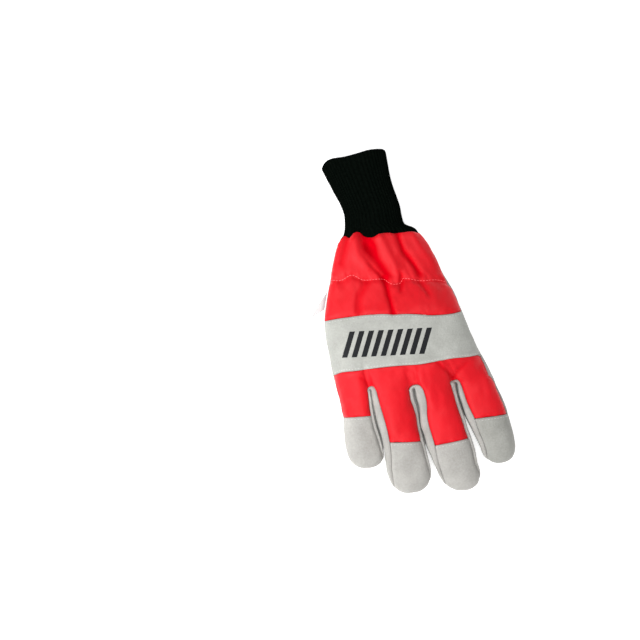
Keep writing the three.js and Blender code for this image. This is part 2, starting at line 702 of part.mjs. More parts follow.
const leather = { color: 0xb9bbc0, roughness: 0.92 };
const woven = { color: 0xf5222c, roughness: 0.75 };
const knit = { color: 0x101214, roughness: 0.9 };
const finishes = { cuff_knit: knit, wrist_panel: woven, back_panel: woven };
const walls = { cuff_knit: wallKnit, wrist_panel: wallWoven, back_panel: wallWoven };
const solids = new Map();
const skinNormals = normalsOf(faces);
for (const name of new Set(faces.map((face) => face.piece))) {
  const list = faces.filter((face) => face.piece === name);
  solids.set(name, wallOf(list, skinNormals, walls[name] || wallLeather, seamPull));
}

// Thumb: an elbow out of the palm hole, then a flat tube under the palm.
const across = new THREE.Vector3(-thumbWay.y, thumbWay.x, 0);
const along = new THREE.Vector3(thumbWay.x, thumbWay.y, 0);
const hinge = new THREE.Vector3(hole.across, hole.along, liftHeight)
  .addScaledVector(along, hole.halfAlong + thumbClear);
const thumbColumns = 16;
const thumbRows = [];
function thumbRing(centre, radial, halfRadial, halfAcross, power) {
  const ring = [];
  for (let i = 0; i < thumbColumns; i += 1) {
    const angle = 2 * Math.PI * i / thumbColumns;
    const c = Math.cos(angle);
    const s = Math.sin(angle);
    const a = Math.sign(s) * Math.pow(Math.abs(s), 2 / power) * halfAcross;
    const d = Math.sign(c) * Math.pow(Math.abs(c), 2 / power) * halfRadial;
    const p = centre.clone().addScaledVector(across, a).addScaledVector(radial, d);
    p.z = Math.max(0, p.z - thumbFlat);
    points.push(p);
    ring.push(points.length - 1);
  }
  thumbRows.push(ring);
}
const back = along.clone().negate();
const holeCentre = hinge.clone().addScaledVector(back, hole.halfAlong + thumbClear);
const risen = holeCentre.clone();
risen.z += wallLeather + 1.2;
thumbRing(risen, back, hole.halfAlong, hole.halfAcross, 2);
thumbRing(holeCentre, back, hole.halfAlong, hole.halfAcross, 2);
for (const share of [0.3, 0.62, 1]) {
  const angle = share * Math.PI / 2;
  const half = lerp(hole.halfAlong, thumbHalfDepth, Math.sin(angle));
  const radial = back.clone().multiplyScalar(Math.cos(angle));
  radial.z = -Math.sin(angle);
  const centre = hinge.clone().addScaledVector(radial, thumbClear + half);
  thumbRing(centre, radial, half, lerp(hole.halfAcross, thumbHalfWidth, share), lerp(2, 3, share));
}
const down = new THREE.Vector3(0, 0, -1);
const thumbStart = hinge.clone().addScaledVector(down, thumbClear + thumbHalfDepth);
const straight = thumbLength - hole.halfAlong;
for (const share of [0.2, 0.45, 0.66]) {
  thumbRing(thumbStart.clone().addScaledVector(along, share * straight), down,
    thumbHalfDepth, thumbHalfWidth * lerp(1, 0.93, share), 3);
}
const tipStart = 0.66 * straight;
const tipSpan = straight - tipStart;
for (const share of [0.4, 0.7, 0.9, 0.985]) {
  const shrink = Math.sqrt(1 - share * share);
  thumbRing(thumbStart.clone().addScaledVector(along, tipStart + share * tipSpan), down,
    thumbHalfDepth * Math.pow(shrink, 0.6), thumbHalfWidth * 0.93 * shrink, 2.3);
}
const thumbFaces = [];
for (let r = 0; r + 1 < thumbRows.length; r += 1) {
  for (let i = 0; i < thumbColumns; i += 1) {
    const j = (i + 1) % thumbColumns;
    const [a, b] = [thumbRows[r], thumbRows[r + 1]];
    thumbFaces.push({ v: [a[i], a[j], b[j]] }, { v: [a[i], b[j], b[i]] });
  }
}
points.push(thumbStart.clone().addScaledVector(along, straight));
const tipPoint = points.length - 1;
const lastRing = thumbRows[thumbRows.length - 1];
for (let i = 0; i < thumbColumns; i += 1) {
  thumbFaces.push({ v: [lastRing[i], lastRing[(i + 1) % thumbColumns], tipPoint] });
}
solids.set('thumb', wallOf(thumbFaces, normalsOf(thumbFaces), wallLeather, 0));

// The hole in the palm, a little larger than the thumb's elbow.
const wasm = await Module();
wasm.setup();
function toManifold(geometry) {
  const position = geometry.getAttribute('position').array;
  return new wasm.Manifold(new wasm.Mesh({ numProp: 3,
    vertProperties: Float32Array.from(position), triVerts: Uint32Array.from(geometry.index.array) }));
}
function holePlug(low, high) {
  const count = 24;
  const position = [];
  const cells = [];
  for (const z of [low, high]) {
    for (let i = 0; i < count; i += 1) {
      const angle = 2 * Math.PI * i / count;
      const p = new THREE.Vector3(hole.across, hole.along, 0)
        .addScaledVector(along, Math.cos(angle) * (hole.halfAlong + 0.7))
        .addScaledVector(across, Math.sin(angle) * (hole.halfAcross + 0.7));
      position.push(p.x, p.y, z);
    }
  }
  position.push(hole.across, hole.along, low, hole.across, hole.along, high);
  for (let i = 0; i < count; i += 1) {
    const j = (i + 1) % count;
    cells.push(i, j, j + count, i, j + count, i + count);
    cells.push(2 * count, j, i, 2 * count + 1, i + count, j + count);
  }
  const geometry = new THREE.BufferGeometry();
  geometry.setAttribute('position', new THREE.Float32BufferAttribute(position, 3));
  geometry.setIndex(cells);
  return geometry;
}
const plug = toManifold(holePlug(liftHeight - 3, liftHeight + 8));
const cut = toManifold(solids.get('palm')).subtract(plug);
const cutMesh = cut.getMesh();
const palmGeometry = new THREE.BufferGeometry();
palmGeometry.setAttribute('position', new THREE.BufferAttribute(Float32Array.from(cutMesh.vertProperties), 3));
palmGeometry.setIndex(Array.from(cutMesh.triVerts));
solids.set('palm', palmGeometry);

// Care label: a thin tab out of the little finger side seam, drooping a little.
const tab = [];
for (const corner of labelTable) {
  const y = yOf(corner.along);
  const mid = palmThick * bodyAt('thick', y) * midShare;
  tab.push(new THREE.Vector3(edgeLeft(y) - corner.out, y, mid - corner.drop));
}
const tabPosition = [];
for (const side of [0, wallLabel]) {
  for (const p of tab) tabPosition.push(p.x, p.y, p.z - side);
}
const tabCells = [];
for (let i = 0; i < tab.length; i += 1) {
  const n = tab.length;
  const j = (i + 1) % n;
  if (i > 0 && i < n - 1) tabCells.push(0, i, i + 1, n, n + i + 1, n + i);
  tabCells.push(i, n + i, n + j, i, n + j, j);
}
const tabGeometry = new THREE.BufferGeometry();
tabGeometry.setAttribute('position', new THREE.Float32BufferAttribute(tabPosition, 3));
tabGeometry.setIndex(tabCells);
solids.set('care_label', tabGeometry);

const group = new THREE.Group();
group.name = 'chainsaw_glove';
const box = new THREE.Box3();
for (const [name, geometry] of solids) {
  const finish = finishes[name] || leather;
  const material = new THREE.MeshStandardMaterial({ ...finish, metalness: 0 });
  const mesh = new THREE.Mesh(geometry, material);
  mesh.name = name;
  group.add(mesh);
  geometry.computeBoundingBox();
  box.union(geometry.boundingBox);
}
const centre = box.getCenter(new THREE.Vector3());
for (const mesh of group.children) {
  mesh.geometry.translate(-centre.x, -centre.y, -box.min.z);
  mesh.geometry.computeVertexNormals();
}

export default group;
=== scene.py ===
"""Chainsaw work glove, right hand, lying on its palm with the thumb tucked under.

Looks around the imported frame: fine leather, woven and knit shells, stitches, floor, light, camera.
Lengths in the tables are millimetres from the middle finger crotch; the model is in metres.
"""
import math

import bpy
import numpy as np
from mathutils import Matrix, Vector, bvhtree, kdtree, noise


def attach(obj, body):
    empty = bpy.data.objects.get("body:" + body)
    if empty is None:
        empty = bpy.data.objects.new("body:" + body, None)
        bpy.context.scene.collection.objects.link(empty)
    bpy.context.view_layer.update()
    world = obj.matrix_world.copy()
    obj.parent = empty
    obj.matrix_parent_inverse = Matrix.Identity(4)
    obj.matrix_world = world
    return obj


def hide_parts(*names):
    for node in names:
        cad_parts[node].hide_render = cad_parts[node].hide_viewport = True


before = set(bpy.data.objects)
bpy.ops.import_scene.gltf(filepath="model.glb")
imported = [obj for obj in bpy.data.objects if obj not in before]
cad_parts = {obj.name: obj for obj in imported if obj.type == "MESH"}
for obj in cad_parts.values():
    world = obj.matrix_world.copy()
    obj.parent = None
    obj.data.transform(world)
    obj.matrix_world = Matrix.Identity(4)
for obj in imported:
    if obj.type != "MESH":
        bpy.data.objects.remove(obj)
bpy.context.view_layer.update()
scene = bpy.context.scene

MM = 0.001
# Middle of the plan and lowest point of the tables' glove, which stand at the frame's origin
CENTRE = np.array((5.601, 54.799, -0.0043))

# Sizes, as in the part's source
HAND_WIDTH = 128.0
BODY_LENGTH = 134.0
CUFF_LENGTH = 74.0
PALM_THICK = 29.0
WALL = {"leather": 1.8, "woven": 1.8, "knit": 2.6}
TOP_POWER = 2.3
UNDER_POWER = 3.6
MID_SHARE = 0.44
FLAT_CUT = 0.35
STRIP_POWERS = (3.4, 3.4)
# What the tables count the cuff as, in shares of the body length
CUFF_SHARE = 0.552

# At, left edge, right edge (shares of the hand width), thickness (share of the palm's)
BODY = dict(zip(("at", "left", "right", "thick"), np.array([
    (-0.552, -0.307, 0.16, 0.52), (-0.46, -0.285, 0.158, 0.52), (-0.33, -0.241, 0.1615, 0.53),
    (-0.18, -0.205, 0.182, 0.56), (-0.08, -0.214, 0.185, 0.6), (-0.04, -0.232, 0.195, 0.63),
    (-0.02, -0.249, 0.233, 0.645), (0, -0.275, 0.26, 0.67), (0.05, -0.305, 0.286, 0.69),
    (0.119, -0.337, 0.322, 0.72), (0.224, -0.38, 0.361, 0.74), (0.306, -0.412, 0.378, 0.8),
    (0.448, -0.463, 0.425, 0.93), (0.571, -0.48, 0.447, 1), (0.657, -0.485, 0.463, 1),
    (0.841, -0.484, 0.509, 0.98), (0.97, -0.475, 0.558, 0.93), (1.03, -0.473, 0.576, 0.9)]).T))

# Lines over the back: name, left and right share of the body length, rows of faces up to the line
LINES = (
    ("mouth", -0.552, -0.545, 0),
    ("cuff", -0.2, -0.2, 4),
    ("knitSeam", 0, 0.036, 4),
    ("elastic", 0.23, 0.392, 22),
    ("bandUpper", 0.49, 0.585, 16),
    ("bandLower", 0.838, 0.888, 24),
    ("crotch", 0.97, 1.022, 12),
)
# Waves of these lines on the back: share of the width, mm towards the cuff
WAVES = {name: dict(zip(("at", "up"), np.array(rows, float).T)) for name, rows in (
    ("mouth", [(0, -7), (0.046, -4.5), (0.11, -2.4), (0.2, -1.5), (0.377, -1.8), (0.55, -1),
               (0.742, 0.3), (0.872, 0.1), (0.97, -0.6), (1, -1.2)]),
    ("knitSeam", [(0, 1), (0.025, 3.3), (0.055, 5.3), (0.09, 6.1), (0.13, 3.7), (0.18, 6.5),
                  (0.247, 7.9), (0.293, 6.6), (0.317, 3.6), (0.375, 1.5), (0.433, 1.6), (0.479, 3.4),
                  (0.544, 4), (0.609, 3.8), (0.67, 2.9), (0.75, 2.3), (0.83, 2.4), (0.91, 2.1), (1, 0.4)]),
    ("bandUpper", [(0, 1.5), (0.07, 2.5), (0.165, 3.3), (0.26, 4), (0.352, 4), (0.435, 3.5),
                   (0.508, 2.4), (0.582, 2.1), (0.673, 0.8), (0.763, -1), (0.856, -1.4),
                   (0.93, -1.1), (1, 0.3)]),
    ("bandLower", [(0, 0.6), (0.06, 2.5), (0.138, 2.3), (0.214, 2.2), (0.29, 2.3), (0.366, 2),
                   (0.441, 1.6), (0.516, 0.7), (0.59, 0.3), (0.8, 1.2), (0.9, 0.5), (1, 1)]))}

FINGERS = (
    dict(name="little", crotch=(4, 4), reach=48, tip=15.2, lean=1.4, cap=(15.5, 18.5), thick=21, full=2.3),
    dict(name="ring", crotch=(4, -2.6), reach=68, tip=23.9, lean=1.2, cap=(43, 48.5), thick=24.5,
         full=2.35),
    dict(name="middle", crotch=(-3, -3.8), reach=76, tip=21.8, lean=4, cap=(54, 53.2), thick=25,
         full=2.3),
    dict(name="index", crotch=(-3.6, -3), reach=64, tip=17, lean=1.2, cap=(37.4, 39.4), thick=23,
         full=2.15),
)
# At, left, right (shares of the hand width), seam insets left and right (mm), thickness share
SECTION_COLUMNS = ("at", "left", "right", "inset_left", "inset_right", "thick")
SECTIONS = [dict(zip(SECTION_COLUMNS, np.array(rows).T)) for rows in (
    [(0, -0.473, -0.2595, 0.3, 1.3, 1), (0.2, -0.4725, -0.26, 0.3, 2.5, 1),
     (0.4, -0.471, -0.259, 0.3, 3, 1), (0.6, -0.48, -0.2535, 0.3, 3.4, 0.99),
     (0.8, -0.487, -0.246, 0.3, 2.7, 0.98), (1, -0.487, -0.245, 0.3, 2, 0.94)],
    [(0, -0.2525, 0.0265, 3.9, 3.1, 1), (0.12, -0.2555, 0.0275, 4.8, 3.5, 1),
     (0.23, -0.2567, 0.0365, 5.7, 3.3, 1), (0.36, -0.2553, 0.033, 6.5, 1.9, 0.99),
     (0.49, -0.2496, 0.0295, 6.7, 1.6, 0.97), (0.62, -0.2423, 0.0385, 6, 3.2, 0.96),
     (0.74, -0.2415, 0.0411, 5.7, 2.9, 0.94), (0.87, -0.2455, 0.0443, 5.2, 2.6, 0.91),
     (1, -0.2505, 0.0465, 4.2, 2.2, 0.88)],
    [(0, 0.0345, 0.317, 7, 4, 1), (0.11, 0.035, 0.3184, 8.1, 3.2, 1),
     (0.21, 0.0425, 0.3223, 7.1, 3.2, 1), (0.335, 0.037, 0.3309, 6.3, 3.2, 0.99),
     (0.456, 0.0332, 0.3408, 6.7, 3, 0.97), (0.579, 0.0422, 0.3466, 6.4, 3, 0.95),
     (0.7, 0.0455, 0.3579, 6.9, 2.9, 0.93), (0.82, 0.062, 0.3663, 4.9, 2.7, 0.91),
     (0.92, 0.073, 0.3674, 3.7, 2.5, 0.89), (1, 0.085, 0.366, 2.8, 2.4, 0.88)],
    [(0, 0.3255, 0.5785, 2.4, 2.6, 1), (0.1, 0.3232, 0.5873, 3.9, 0.6, 1),
     (0.2, 0.3225, 0.5965, 4.8, 0.3, 1), (0.327, 0.3305, 0.6105, 4.7, 0.3, 0.99),
     (0.451, 0.3365, 0.6236, 5.7, 0.3, 0.97), (0.588, 0.3465, 0.6324, 6.5, 0.3, 0.95),
     (0.695, 0.364, 0.6364, 5.2, 0.3, 0.93), (0.8, 0.378, 0.6382, 4.6, 0.3, 0.91),
     (0.91, 0.394, 0.6397, 4.2, 0.3, 0.9), (1, 0.406, 0.641, 3.5, 0.3, 0.88)],
)]
# Top of each crotch, where its slit runs (share of the hand width), how far its turn bulges (mm)
CROTCHES = ((7.4, -0.256, 2.7), (1.1, 0.0305, 2.7), (-1.2, 0.3213, 3.2))
SLIT_WIDTH = 0.9
UNDER_INSET = 2.6
OUTER_INSET = 2.2 * UNDER_INSET
# How much the leather sliver beside the index knuckle narrows towards the band
SLIVER = 1.7
WEB_DIP = 2.2
WEB_RISE = 0.6 * WEB_DIP
BLEND_BEFORE = 26.0
BLEND_AFTER = 12.0

HOLE = (32.0, 42.0)
HOLE_HALF = (13.0, 17.0)
THUMB_WAY = np.array([-0.9, -0.436]) / math.hypot(0.9, 0.436)
THUMB_LENGTH = 66.0
THUMB_HALF_WIDTH = 18.5
THUMB_HALF_DEPTH = 7.0
THUMB_CLEAR = 1.5
THUMB_FLAT = 0.5
LIFT = THUMB_CLEAR + 2 * THUMB_HALF_DEPTH
LIFT_REACH = THUMB_LENGTH - 12
LIFT_FLAT = 20.0
LIFT_FALL = 38.0
LIFT_TOP_SHARE = 0.62

# How finely the shells are cut
FINGER_QUADS = 16
WEB_QUADS = 8
SIDE_QUADS = 8
SIDE_HALF = SIDE_QUADS // 2
TIP_ROWS = (0, 0.1, 0.2, 0.3, 0.4, 0.5, 0.6, 0.7, 0.78, 0.85, 0.91, 0.96, 1)
SIDE_END = 0.91
ROW_LENGTH = 1.9

# Folds of the gathered wrist: path, height in mm (less than nothing for a valley), half width
FOLDS = (
    (((-11.5, 140), (-9.8, 126)), -2.6, 8.5),
    (((-9.8, 126), (-4, 110), (1, 99)), -2.4, 5.5),
    (((-22, 134), (-21.3, 121), (-15.6, 109)), 1.8, 5.0),
    (((1, 133), (6, 113), (9, 103)), 1.8, 5.0),
    (((15.7, 134), (18.3, 117), (25, 104), (28.4, 94)), -2.4, 3.2),
    (((-13, 112), (-4, 98)), -1.1, 1.8),
    (((-27, 138), (-36.6, 117)), -1.4, 4.0),
    (((30, 128), (35, 112)), 1.2, 5.0),
    (((-2, 96), (-1.9, 81), (-1.1, 65)), -2.8, 2.8),
    (((-18.2, 96), (-26.7, 85.6), (-30, 72)), -1.5, 4.0),
    (((13, 97), (11.7, 91), (9, 83)), -1.9, 2.2),
    (((27, 87), (31.6, 76)), -1.4, 3.0),
    (((41, 85), (46, 80)), -1.2, 2.4),
    (((28, 17), (36, 6), (39, 1)), -1.4, 2.2),
    (((52, 12), (44, 6), (40, 1)), -1.2, 2.2),
    (((-38, 16), (-33, 9)), -1.1, 2.4),
    (((10, 16), (7, 6)), -0.9, 2.4),
)
ELASTIC = ((-47, 103.4), (-39.5, 101.8), (-29.3, 104.4), (-20.7, 98.4), (-3.5, 95.7), (2.5, 90.4),
           (10, 89.5), (13.7, 93), (27.4, 88.3), (41.6, 86.3), (55, 80.5))


def smooth(low, high, value):
    f = np.clip((np.asarray(value, float) - low) / (high - low), 0, 1)
    return f * f * (3 - 2 * f)


def read(table, name, value):
    """Smooth reading of one named column of a table at a value of its first column."""
    keys, column = table["at"], table[name]
    value = np.asarray(value, float)
    i = np.clip(np.searchsorted(keys, value, side="left") - 1, 0, len(keys) - 2)
    last = len(keys) - 1
    before, after = np.maximum(i - 1, 0), np.minimum(i + 2, last)
    span = keys[i + 1] - keys[i]
    f = np.clip((value - keys[i]) / span, 0, 1)
    slope_a = (column[i + 1] - column[before]) / (keys[i + 1] - keys[before])
    slope_b = (column[after] - column[i]) / (keys[after] - keys[i])
    f2, f3 = f * f, f * f * f
    return ((2 * f3 - 3 * f2 + 1) * column[i] + (f3 - 2 * f2 + f) * span * slope_a
            + (3 * f2 - 2 * f3) * column[i + 1] + (f3 - f2) * span * slope_b)


def body_at(name, y):
    y = np.asarray(y, float)
    share = np.where(y > BODY_LENGTH, (BODY_LENGTH - y) * CUFF_SHARE / CUFF_LENGTH,
                     (BODY_LENGTH - y) / BODY_LENGTH)
    return read(BODY, name, share)


def y_of(share):
    return BODY_LENGTH * (1 - share) if share > 0 else BODY_LENGTH - share * CUFF_LENGTH / CUFF_SHARE


def profile(t, power):
    return np.maximum(0, 1 - np.minimum(1, np.abs(t)) ** power) ** (1 / power)


def section_height(thick, t, under):
    mid = thick * MID_SHARE
    return mid - mid * profile(t, UNDER_POWER) if under else mid + (thick - mid) * profile(t, TOP_POWER)


def path_distance(x, y, path):
    best = np.full(np.shape(x), 1e9)
    for (x0, y0), (x1, y1) in zip(path, path[1:]):
        dx, dy = x1 - x0, y1 - y0
        f = np.clip(((x - x0) * dx + (y - y0) * dy) / (dx * dx + dy * dy), 0, 1)
        best = np.minimum(best, np.hypot(x - x0 - f * dx, y - y0 - f * dy))
    return best


def fold_height(x, y):
    total = np.zeros(np.shape(x))
    for path, up, width in FOLDS:
        total += up * np.exp(-1.6 * (path_distance(x, y, path) / width) ** 2)
    return total


def off_edge(t):
    """0 at the side edges of the hand, 1 a little away from them."""
    return smooth(0.03, 0.2, 1 - np.abs(t))


def lift(x, y):
    dx, dy = x - HOLE[0], y - HOLE[1]
    f = np.clip((dx * THUMB_WAY[0] + dy * THUMB_WAY[1]) / LIFT_REACH, 0, 1)
    far = np.hypot(dx - f * LIFT_REACH * THUMB_WAY[0], dy - f * LIFT_REACH * THUMB_WAY[1])
    return LIFT * (1 - smooth(LIFT_FLAT, LIFT_FLAT + LIFT_FALL, far))


# The outer skin
points = []
quads = []


def place(x, y, z, thick):
    """Adds points, raised over the tucked thumb and flattened where the glove rests."""
    x, y, z, thick = np.broadcast_arrays(*(np.asarray(v, float) for v in (x, y, z, thick)))
    share = 1 + (LIFT_TOP_SHARE - 1) * np.clip(z / thick, 0, 1)
    z = np.maximum(0, z - FLAT_CUT) + share * lift(x, y)
    start = len(points)
    points.extend(np.stack([x, y, z], axis=-1).reshape(-1, 3).tolist())
    return np.arange(start, len(points))


def strip(piece, a, b):
    """Faces between two rows of points, a towards the cuff and b towards the fingertips."""
    for i in range(len(a) - 1):
        ring = [a[i], b[i], b[i + 1], a[i + 1]]
        ring = [v for k, v in enumerate(ring) if v != ring[k - 1]]
        if len(set(ring)) > 2:
            quads.append((piece, ring))


def between(pair, t):
    """From the first of the pair where t is -1 to the second where it is 1."""
    return pair[0] + (pair[1] - pair[0]) * (t + 1) / 2


def finger_section(f, at):
    table = SECTIONS[f]
    left, right = (HAND_WIDTH * read(table, name, at) for name in ("left", "right"))
    half = (right - left) / 2
    return dict(middle=(left + right) / 2, half=half,
                thick=FINGERS[f]["thick"] * read(table, "thick", at),
                seams=(1 - read(table, "inset_left", at) / half, 1 - read(table, "inset_right", at) / half))


def outer(f, right):
    return f == (len(FINGERS) - 1 if right else 0)


def under_seam(section, f, right):
    return 1 - (OUTER_INSET if outer(f, right) else UNDER_INSET) / section["half"]


def side_shares(upper, lower):
    angle_top = math.acos(min(1, upper) ** (TOP_POWER / 2))
    angle_under = math.acos(min(1, lower) ** (UNDER_POWER / 2))
    shares = [(math.cos(angle_top * (1 - q / SIDE_HALF)) ** (2 / TOP_POWER), False)
              for q in range(SIDE_HALF + 1)]
    return shares + [(math.cos(angle_under * q / SIDE_HALF) ** (2 / UNDER_POWER), True)
                     for q in range(1, SIDE_HALF + 1)]


def crotch_line(under):
    """x, y, z of every column where it meets the crotch line, from the little finger to the index."""
    rows = []
    for f, finger in enumerate(FINGERS):
        section = finger_section(f, 0)
        low = -(under_seam(section, f, False) if under else section["seams"][0])
        high = under_seam(section, f, True) if under else section["seams"][1]
        u = np.linspace(0, 1, FINGER_QUADS + 1)
        t = low + (high - low) * u
        y = finger["crotch"][0] + (finger["crotch"][1] - finger["crotch"][0]) * u
        block = np.stack([section["middle"] + t * section["half"], y,
                          section_height(section["thick"], t, under)], axis=1)
        if rows:
            a, b = rows[-1][-1], block[0]
            top = CROTCHES[f - 1][0]
            u = np.arange(1, WEB_QUADS)[:, None] / WEB_QUADS
            arch = np.sqrt(1 - (2 * u - 1) ** 2)
            web = a + (b - a) * u
            web[:, 1:2] += (top - web[:, 1:2]) * arch
            web[:, 2:3] += (WEB_RISE if under else -WEB_DIP) * arch
            rows.append(web)
        rows.append(block)
    return np.concatenate(rows)


MEET_TOP = crotch_line(False)
MEET_UNDER = crotch_line(True)
BODY_LEFT = HAND_WIDTH * SECTIONS[0]["left"][0]
BODY_RIGHT = HAND_WIDTH * SECTIONS[3]["right"][0]


def share_of(x):
    return 2 * (x - BODY_LEFT) / (BODY_RIGHT - BODY_LEFT) - 1


def line_y(line, across, under):
    base = y_of(line[1]) + (y_of(line[2]) - y_of(line[1])) * across
    if line[0] == "mouth" or (line[0] in WAVES and not under):
        base = base + read(WAVES[line[0]], "up", across)
    return base


def body_points(a, b, f, t, under, meet, folded=True):
    """x, y, z and thickness of a row of body points, f of the way from line a to line b."""
    across = (t + 1) / 2

    def row_y(meet_y, across, under):
        start = line_y(a, across, under)
        goal = meet_y if b[0] == "crotch" else line_y(b, across, under)
        return start + (goal - start) * f
    y = row_y(meet[:, 1], across, under)
    left = HAND_WIDTH * body_at("left", row_y(FINGERS[0]["crotch"][0], 0, True))
    right = HAND_WIDTH * body_at("right", row_y(FINGERS[3]["crotch"][1], 1, True))
    x = left + (right - left) * across
    thick = PALM_THICK * body_at("thick", y)
    z = section_height(thick, t, under)
    if meet.shape[1] == 3:
        z = z + (meet[:, 2] - z) * (1 - smooth(-BLEND_AFTER, BLEND_BEFORE, y - meet[:, 1]))
        if not under and folded:
            z = z + fold_height(x, y) * off_edge(t)
    return x, y, z, thick


def body_row(a, b, f):
    t_top, t_under = share_of(MEET_TOP[:, 0]), share_of(MEET_UNDER[:, 0])
    if b[0] == "crotch":
        ramp = np.linspace(0, 1, FINGER_QUADS + 1) ** 2
        t_top[-FINGER_QUADS - 1:] += SLIVER / HAND_WIDTH * 2 * (1 - f) * ramp
    top = place(*body_points(a, b, f, t_top, False, MEET_TOP))
    under = place(*body_points(a, b, f, t_under, True, MEET_UNDER))
    sides = []
    for right in (0, 1):
        end = -1 if right else 0
        shares = side_shares(abs(t_top[end]), abs(t_under[end]))
        ids = [top[end]]
        for t, low in shares[1:-1]:
            meet = (MEET_UNDER if low else MEET_TOP)[end:end + 1 or None, :2]
            t = np.array([t if right else -t])
            ids.append(place(*body_points(a, b, f, t, low, meet))[0])
        sides.append(ids + [under[end]])
    return dict(top=top, under=under, sides=sides, zone=b[0])


def tip_fullness(c, s, power):
    """How far the outline of a fuller tip lies from the middle, 1 for an ellipse."""
    far = np.maximum(1e-9, np.hypot(c, s))
    return np.where(far > 1e-6, (np.abs(c / far) ** power + np.abs(s / far) ** power) ** (-1 / power), 1)


def finger_row(f, at, r, line, zone):
    """One row of a finger: at is its share of the reach, r its share of the rounding at the tip."""
    finger = FINGERS[f]
    section = finger_section(f, min(1, at))
    ended = r >= SIDE_END - 1e-6
    narrow = 1 - min(1, r / SIDE_END) ** 2
    seam = [1 - (1 - s) * narrow for s in section["seams"]]
    low = [1 - (1 - under_seam(section, f, right)) * narrow for right in (False, True)]

    def spot(t, under):
        t = np.asarray(t, float)
        disc_x = t * math.sqrt(1 - r * r / 2)
        disc_y = r * np.sqrt(1 - t * t / 2)
        far = np.hypot(disc_x, disc_y)
        full = tip_fullness(disc_x, disc_y, finger["full"])
        x = section["middle"] + finger["lean"] * disc_y + disc_x * full * section["half"]
        y = line(t) - disc_y * full * finger["tip"]
        z = section_height(section["thick"], np.minimum(1, far), under)
        mix = 1 - smooth(-BLEND_AFTER, BLEND_BEFORE, y - between(finger["crotch"], t))
        body_t = share_of(x)
        body_z = section_height(PALM_THICK * body_at("thick", np.maximum(y, -4)), body_t, under)
        z = np.where(np.abs(body_t) <= 1, body_z + (z - body_z) * mix, z)
        return x, y, z

    top = place(*spot(np.linspace(-seam[0], seam[1], FINGER_QUADS + 1), False), section["thick"])
    if r == 1:
        under = top
    else:
        under = place(*spot(np.linspace(-low[0], low[1], FINGER_QUADS + 1), True), section["thick"])
        if ended:
            under[0], under[-1] = top[0], top[-1]
    sides = []
    for right in (0, 1):
        end = -1 if right else 0
        if ended:
            sides.append([top[end]] * (SIDE_QUADS + 1))
            continue
        sign = 1 if right else -1
        upper_z = spot(sign * seam[right], False)[2]
        lower_z = spot(sign * low[right], True)[2]
        shares = side_shares(seam[right], low[right])
        plain = [float(section_height(section["thick"], t, u)) for t, u in shares]
        if not outer(f, right):
            silhouette = plain[SIDE_HALF]
            for q in range(1, SIDE_HALF):
                turn = math.pi / 2 * q / SIDE_HALF
                power = 2 / STRIP_POWERS[right]
                shares[q] = (seam[right] + (1 - seam[right]) * math.sin(turn) ** power, False)
                plain[q] = silhouette + (plain[0] - silhouette) * math.cos(turn) ** power
        ids = [top[end]]
        for (t, u), z in list(zip(shares, plain))[1:-1]:
            x, y, _ = spot(sign * t, u)
            z = upper_z + (lower_z - upper_z) * (z - plain[0]) / (plain[-1] - plain[0])
            ids.append(place(x, y, z, section["thick"])[0])
        sides.append(ids + [under[end]])
    return dict(top=top, under=under, sides=sides, zone=zone)


def side_piece(f, right):
    if outer(f, right):
        return "palm"
    low = f if right else f - 1
    return "fourchette_%s_%s" % (FINGERS[low]["name"], FINGERS[low + 1]["name"])


UPPER_HALF, LOWER_HALF = slice(0, SIDE_HALF + 1), slice(SIDE_HALF, None)
BACK_PIECE = {"elastic": "wrist_panel", "bandUpper": "wrist_panel", "bandLower": "knuckle_band",
              "crotch": "back_panel"}


def build_body():
    rows = [body_row(LINES[2], LINES[2], 1)]
    for a, b in zip(LINES[2:], LINES[3:]):
        rows += [body_row(a, b, r / b[3]) for r in range(1, b[3] + 1)]
    for a, b in zip(rows, rows[1:]):
        strip(BACK_PIECE[b["zone"]], a["top"], b["top"])
        strip("palm", a["under"][::-1], b["under"][::-1])
        upper = BACK_PIECE[b["zone"]]
        right_upper = "palm" if b["zone"] == "crotch" else upper
        for left, right, part in ((upper, right_upper, UPPER_HALF), ("palm", "palm", LOWER_HALF)):
            strip(left, a["sides"][0][part][::-1], b["sides"][0][part][::-1])
            strip(right, a["sides"][1][part], b["sides"][1][part])
    return rows


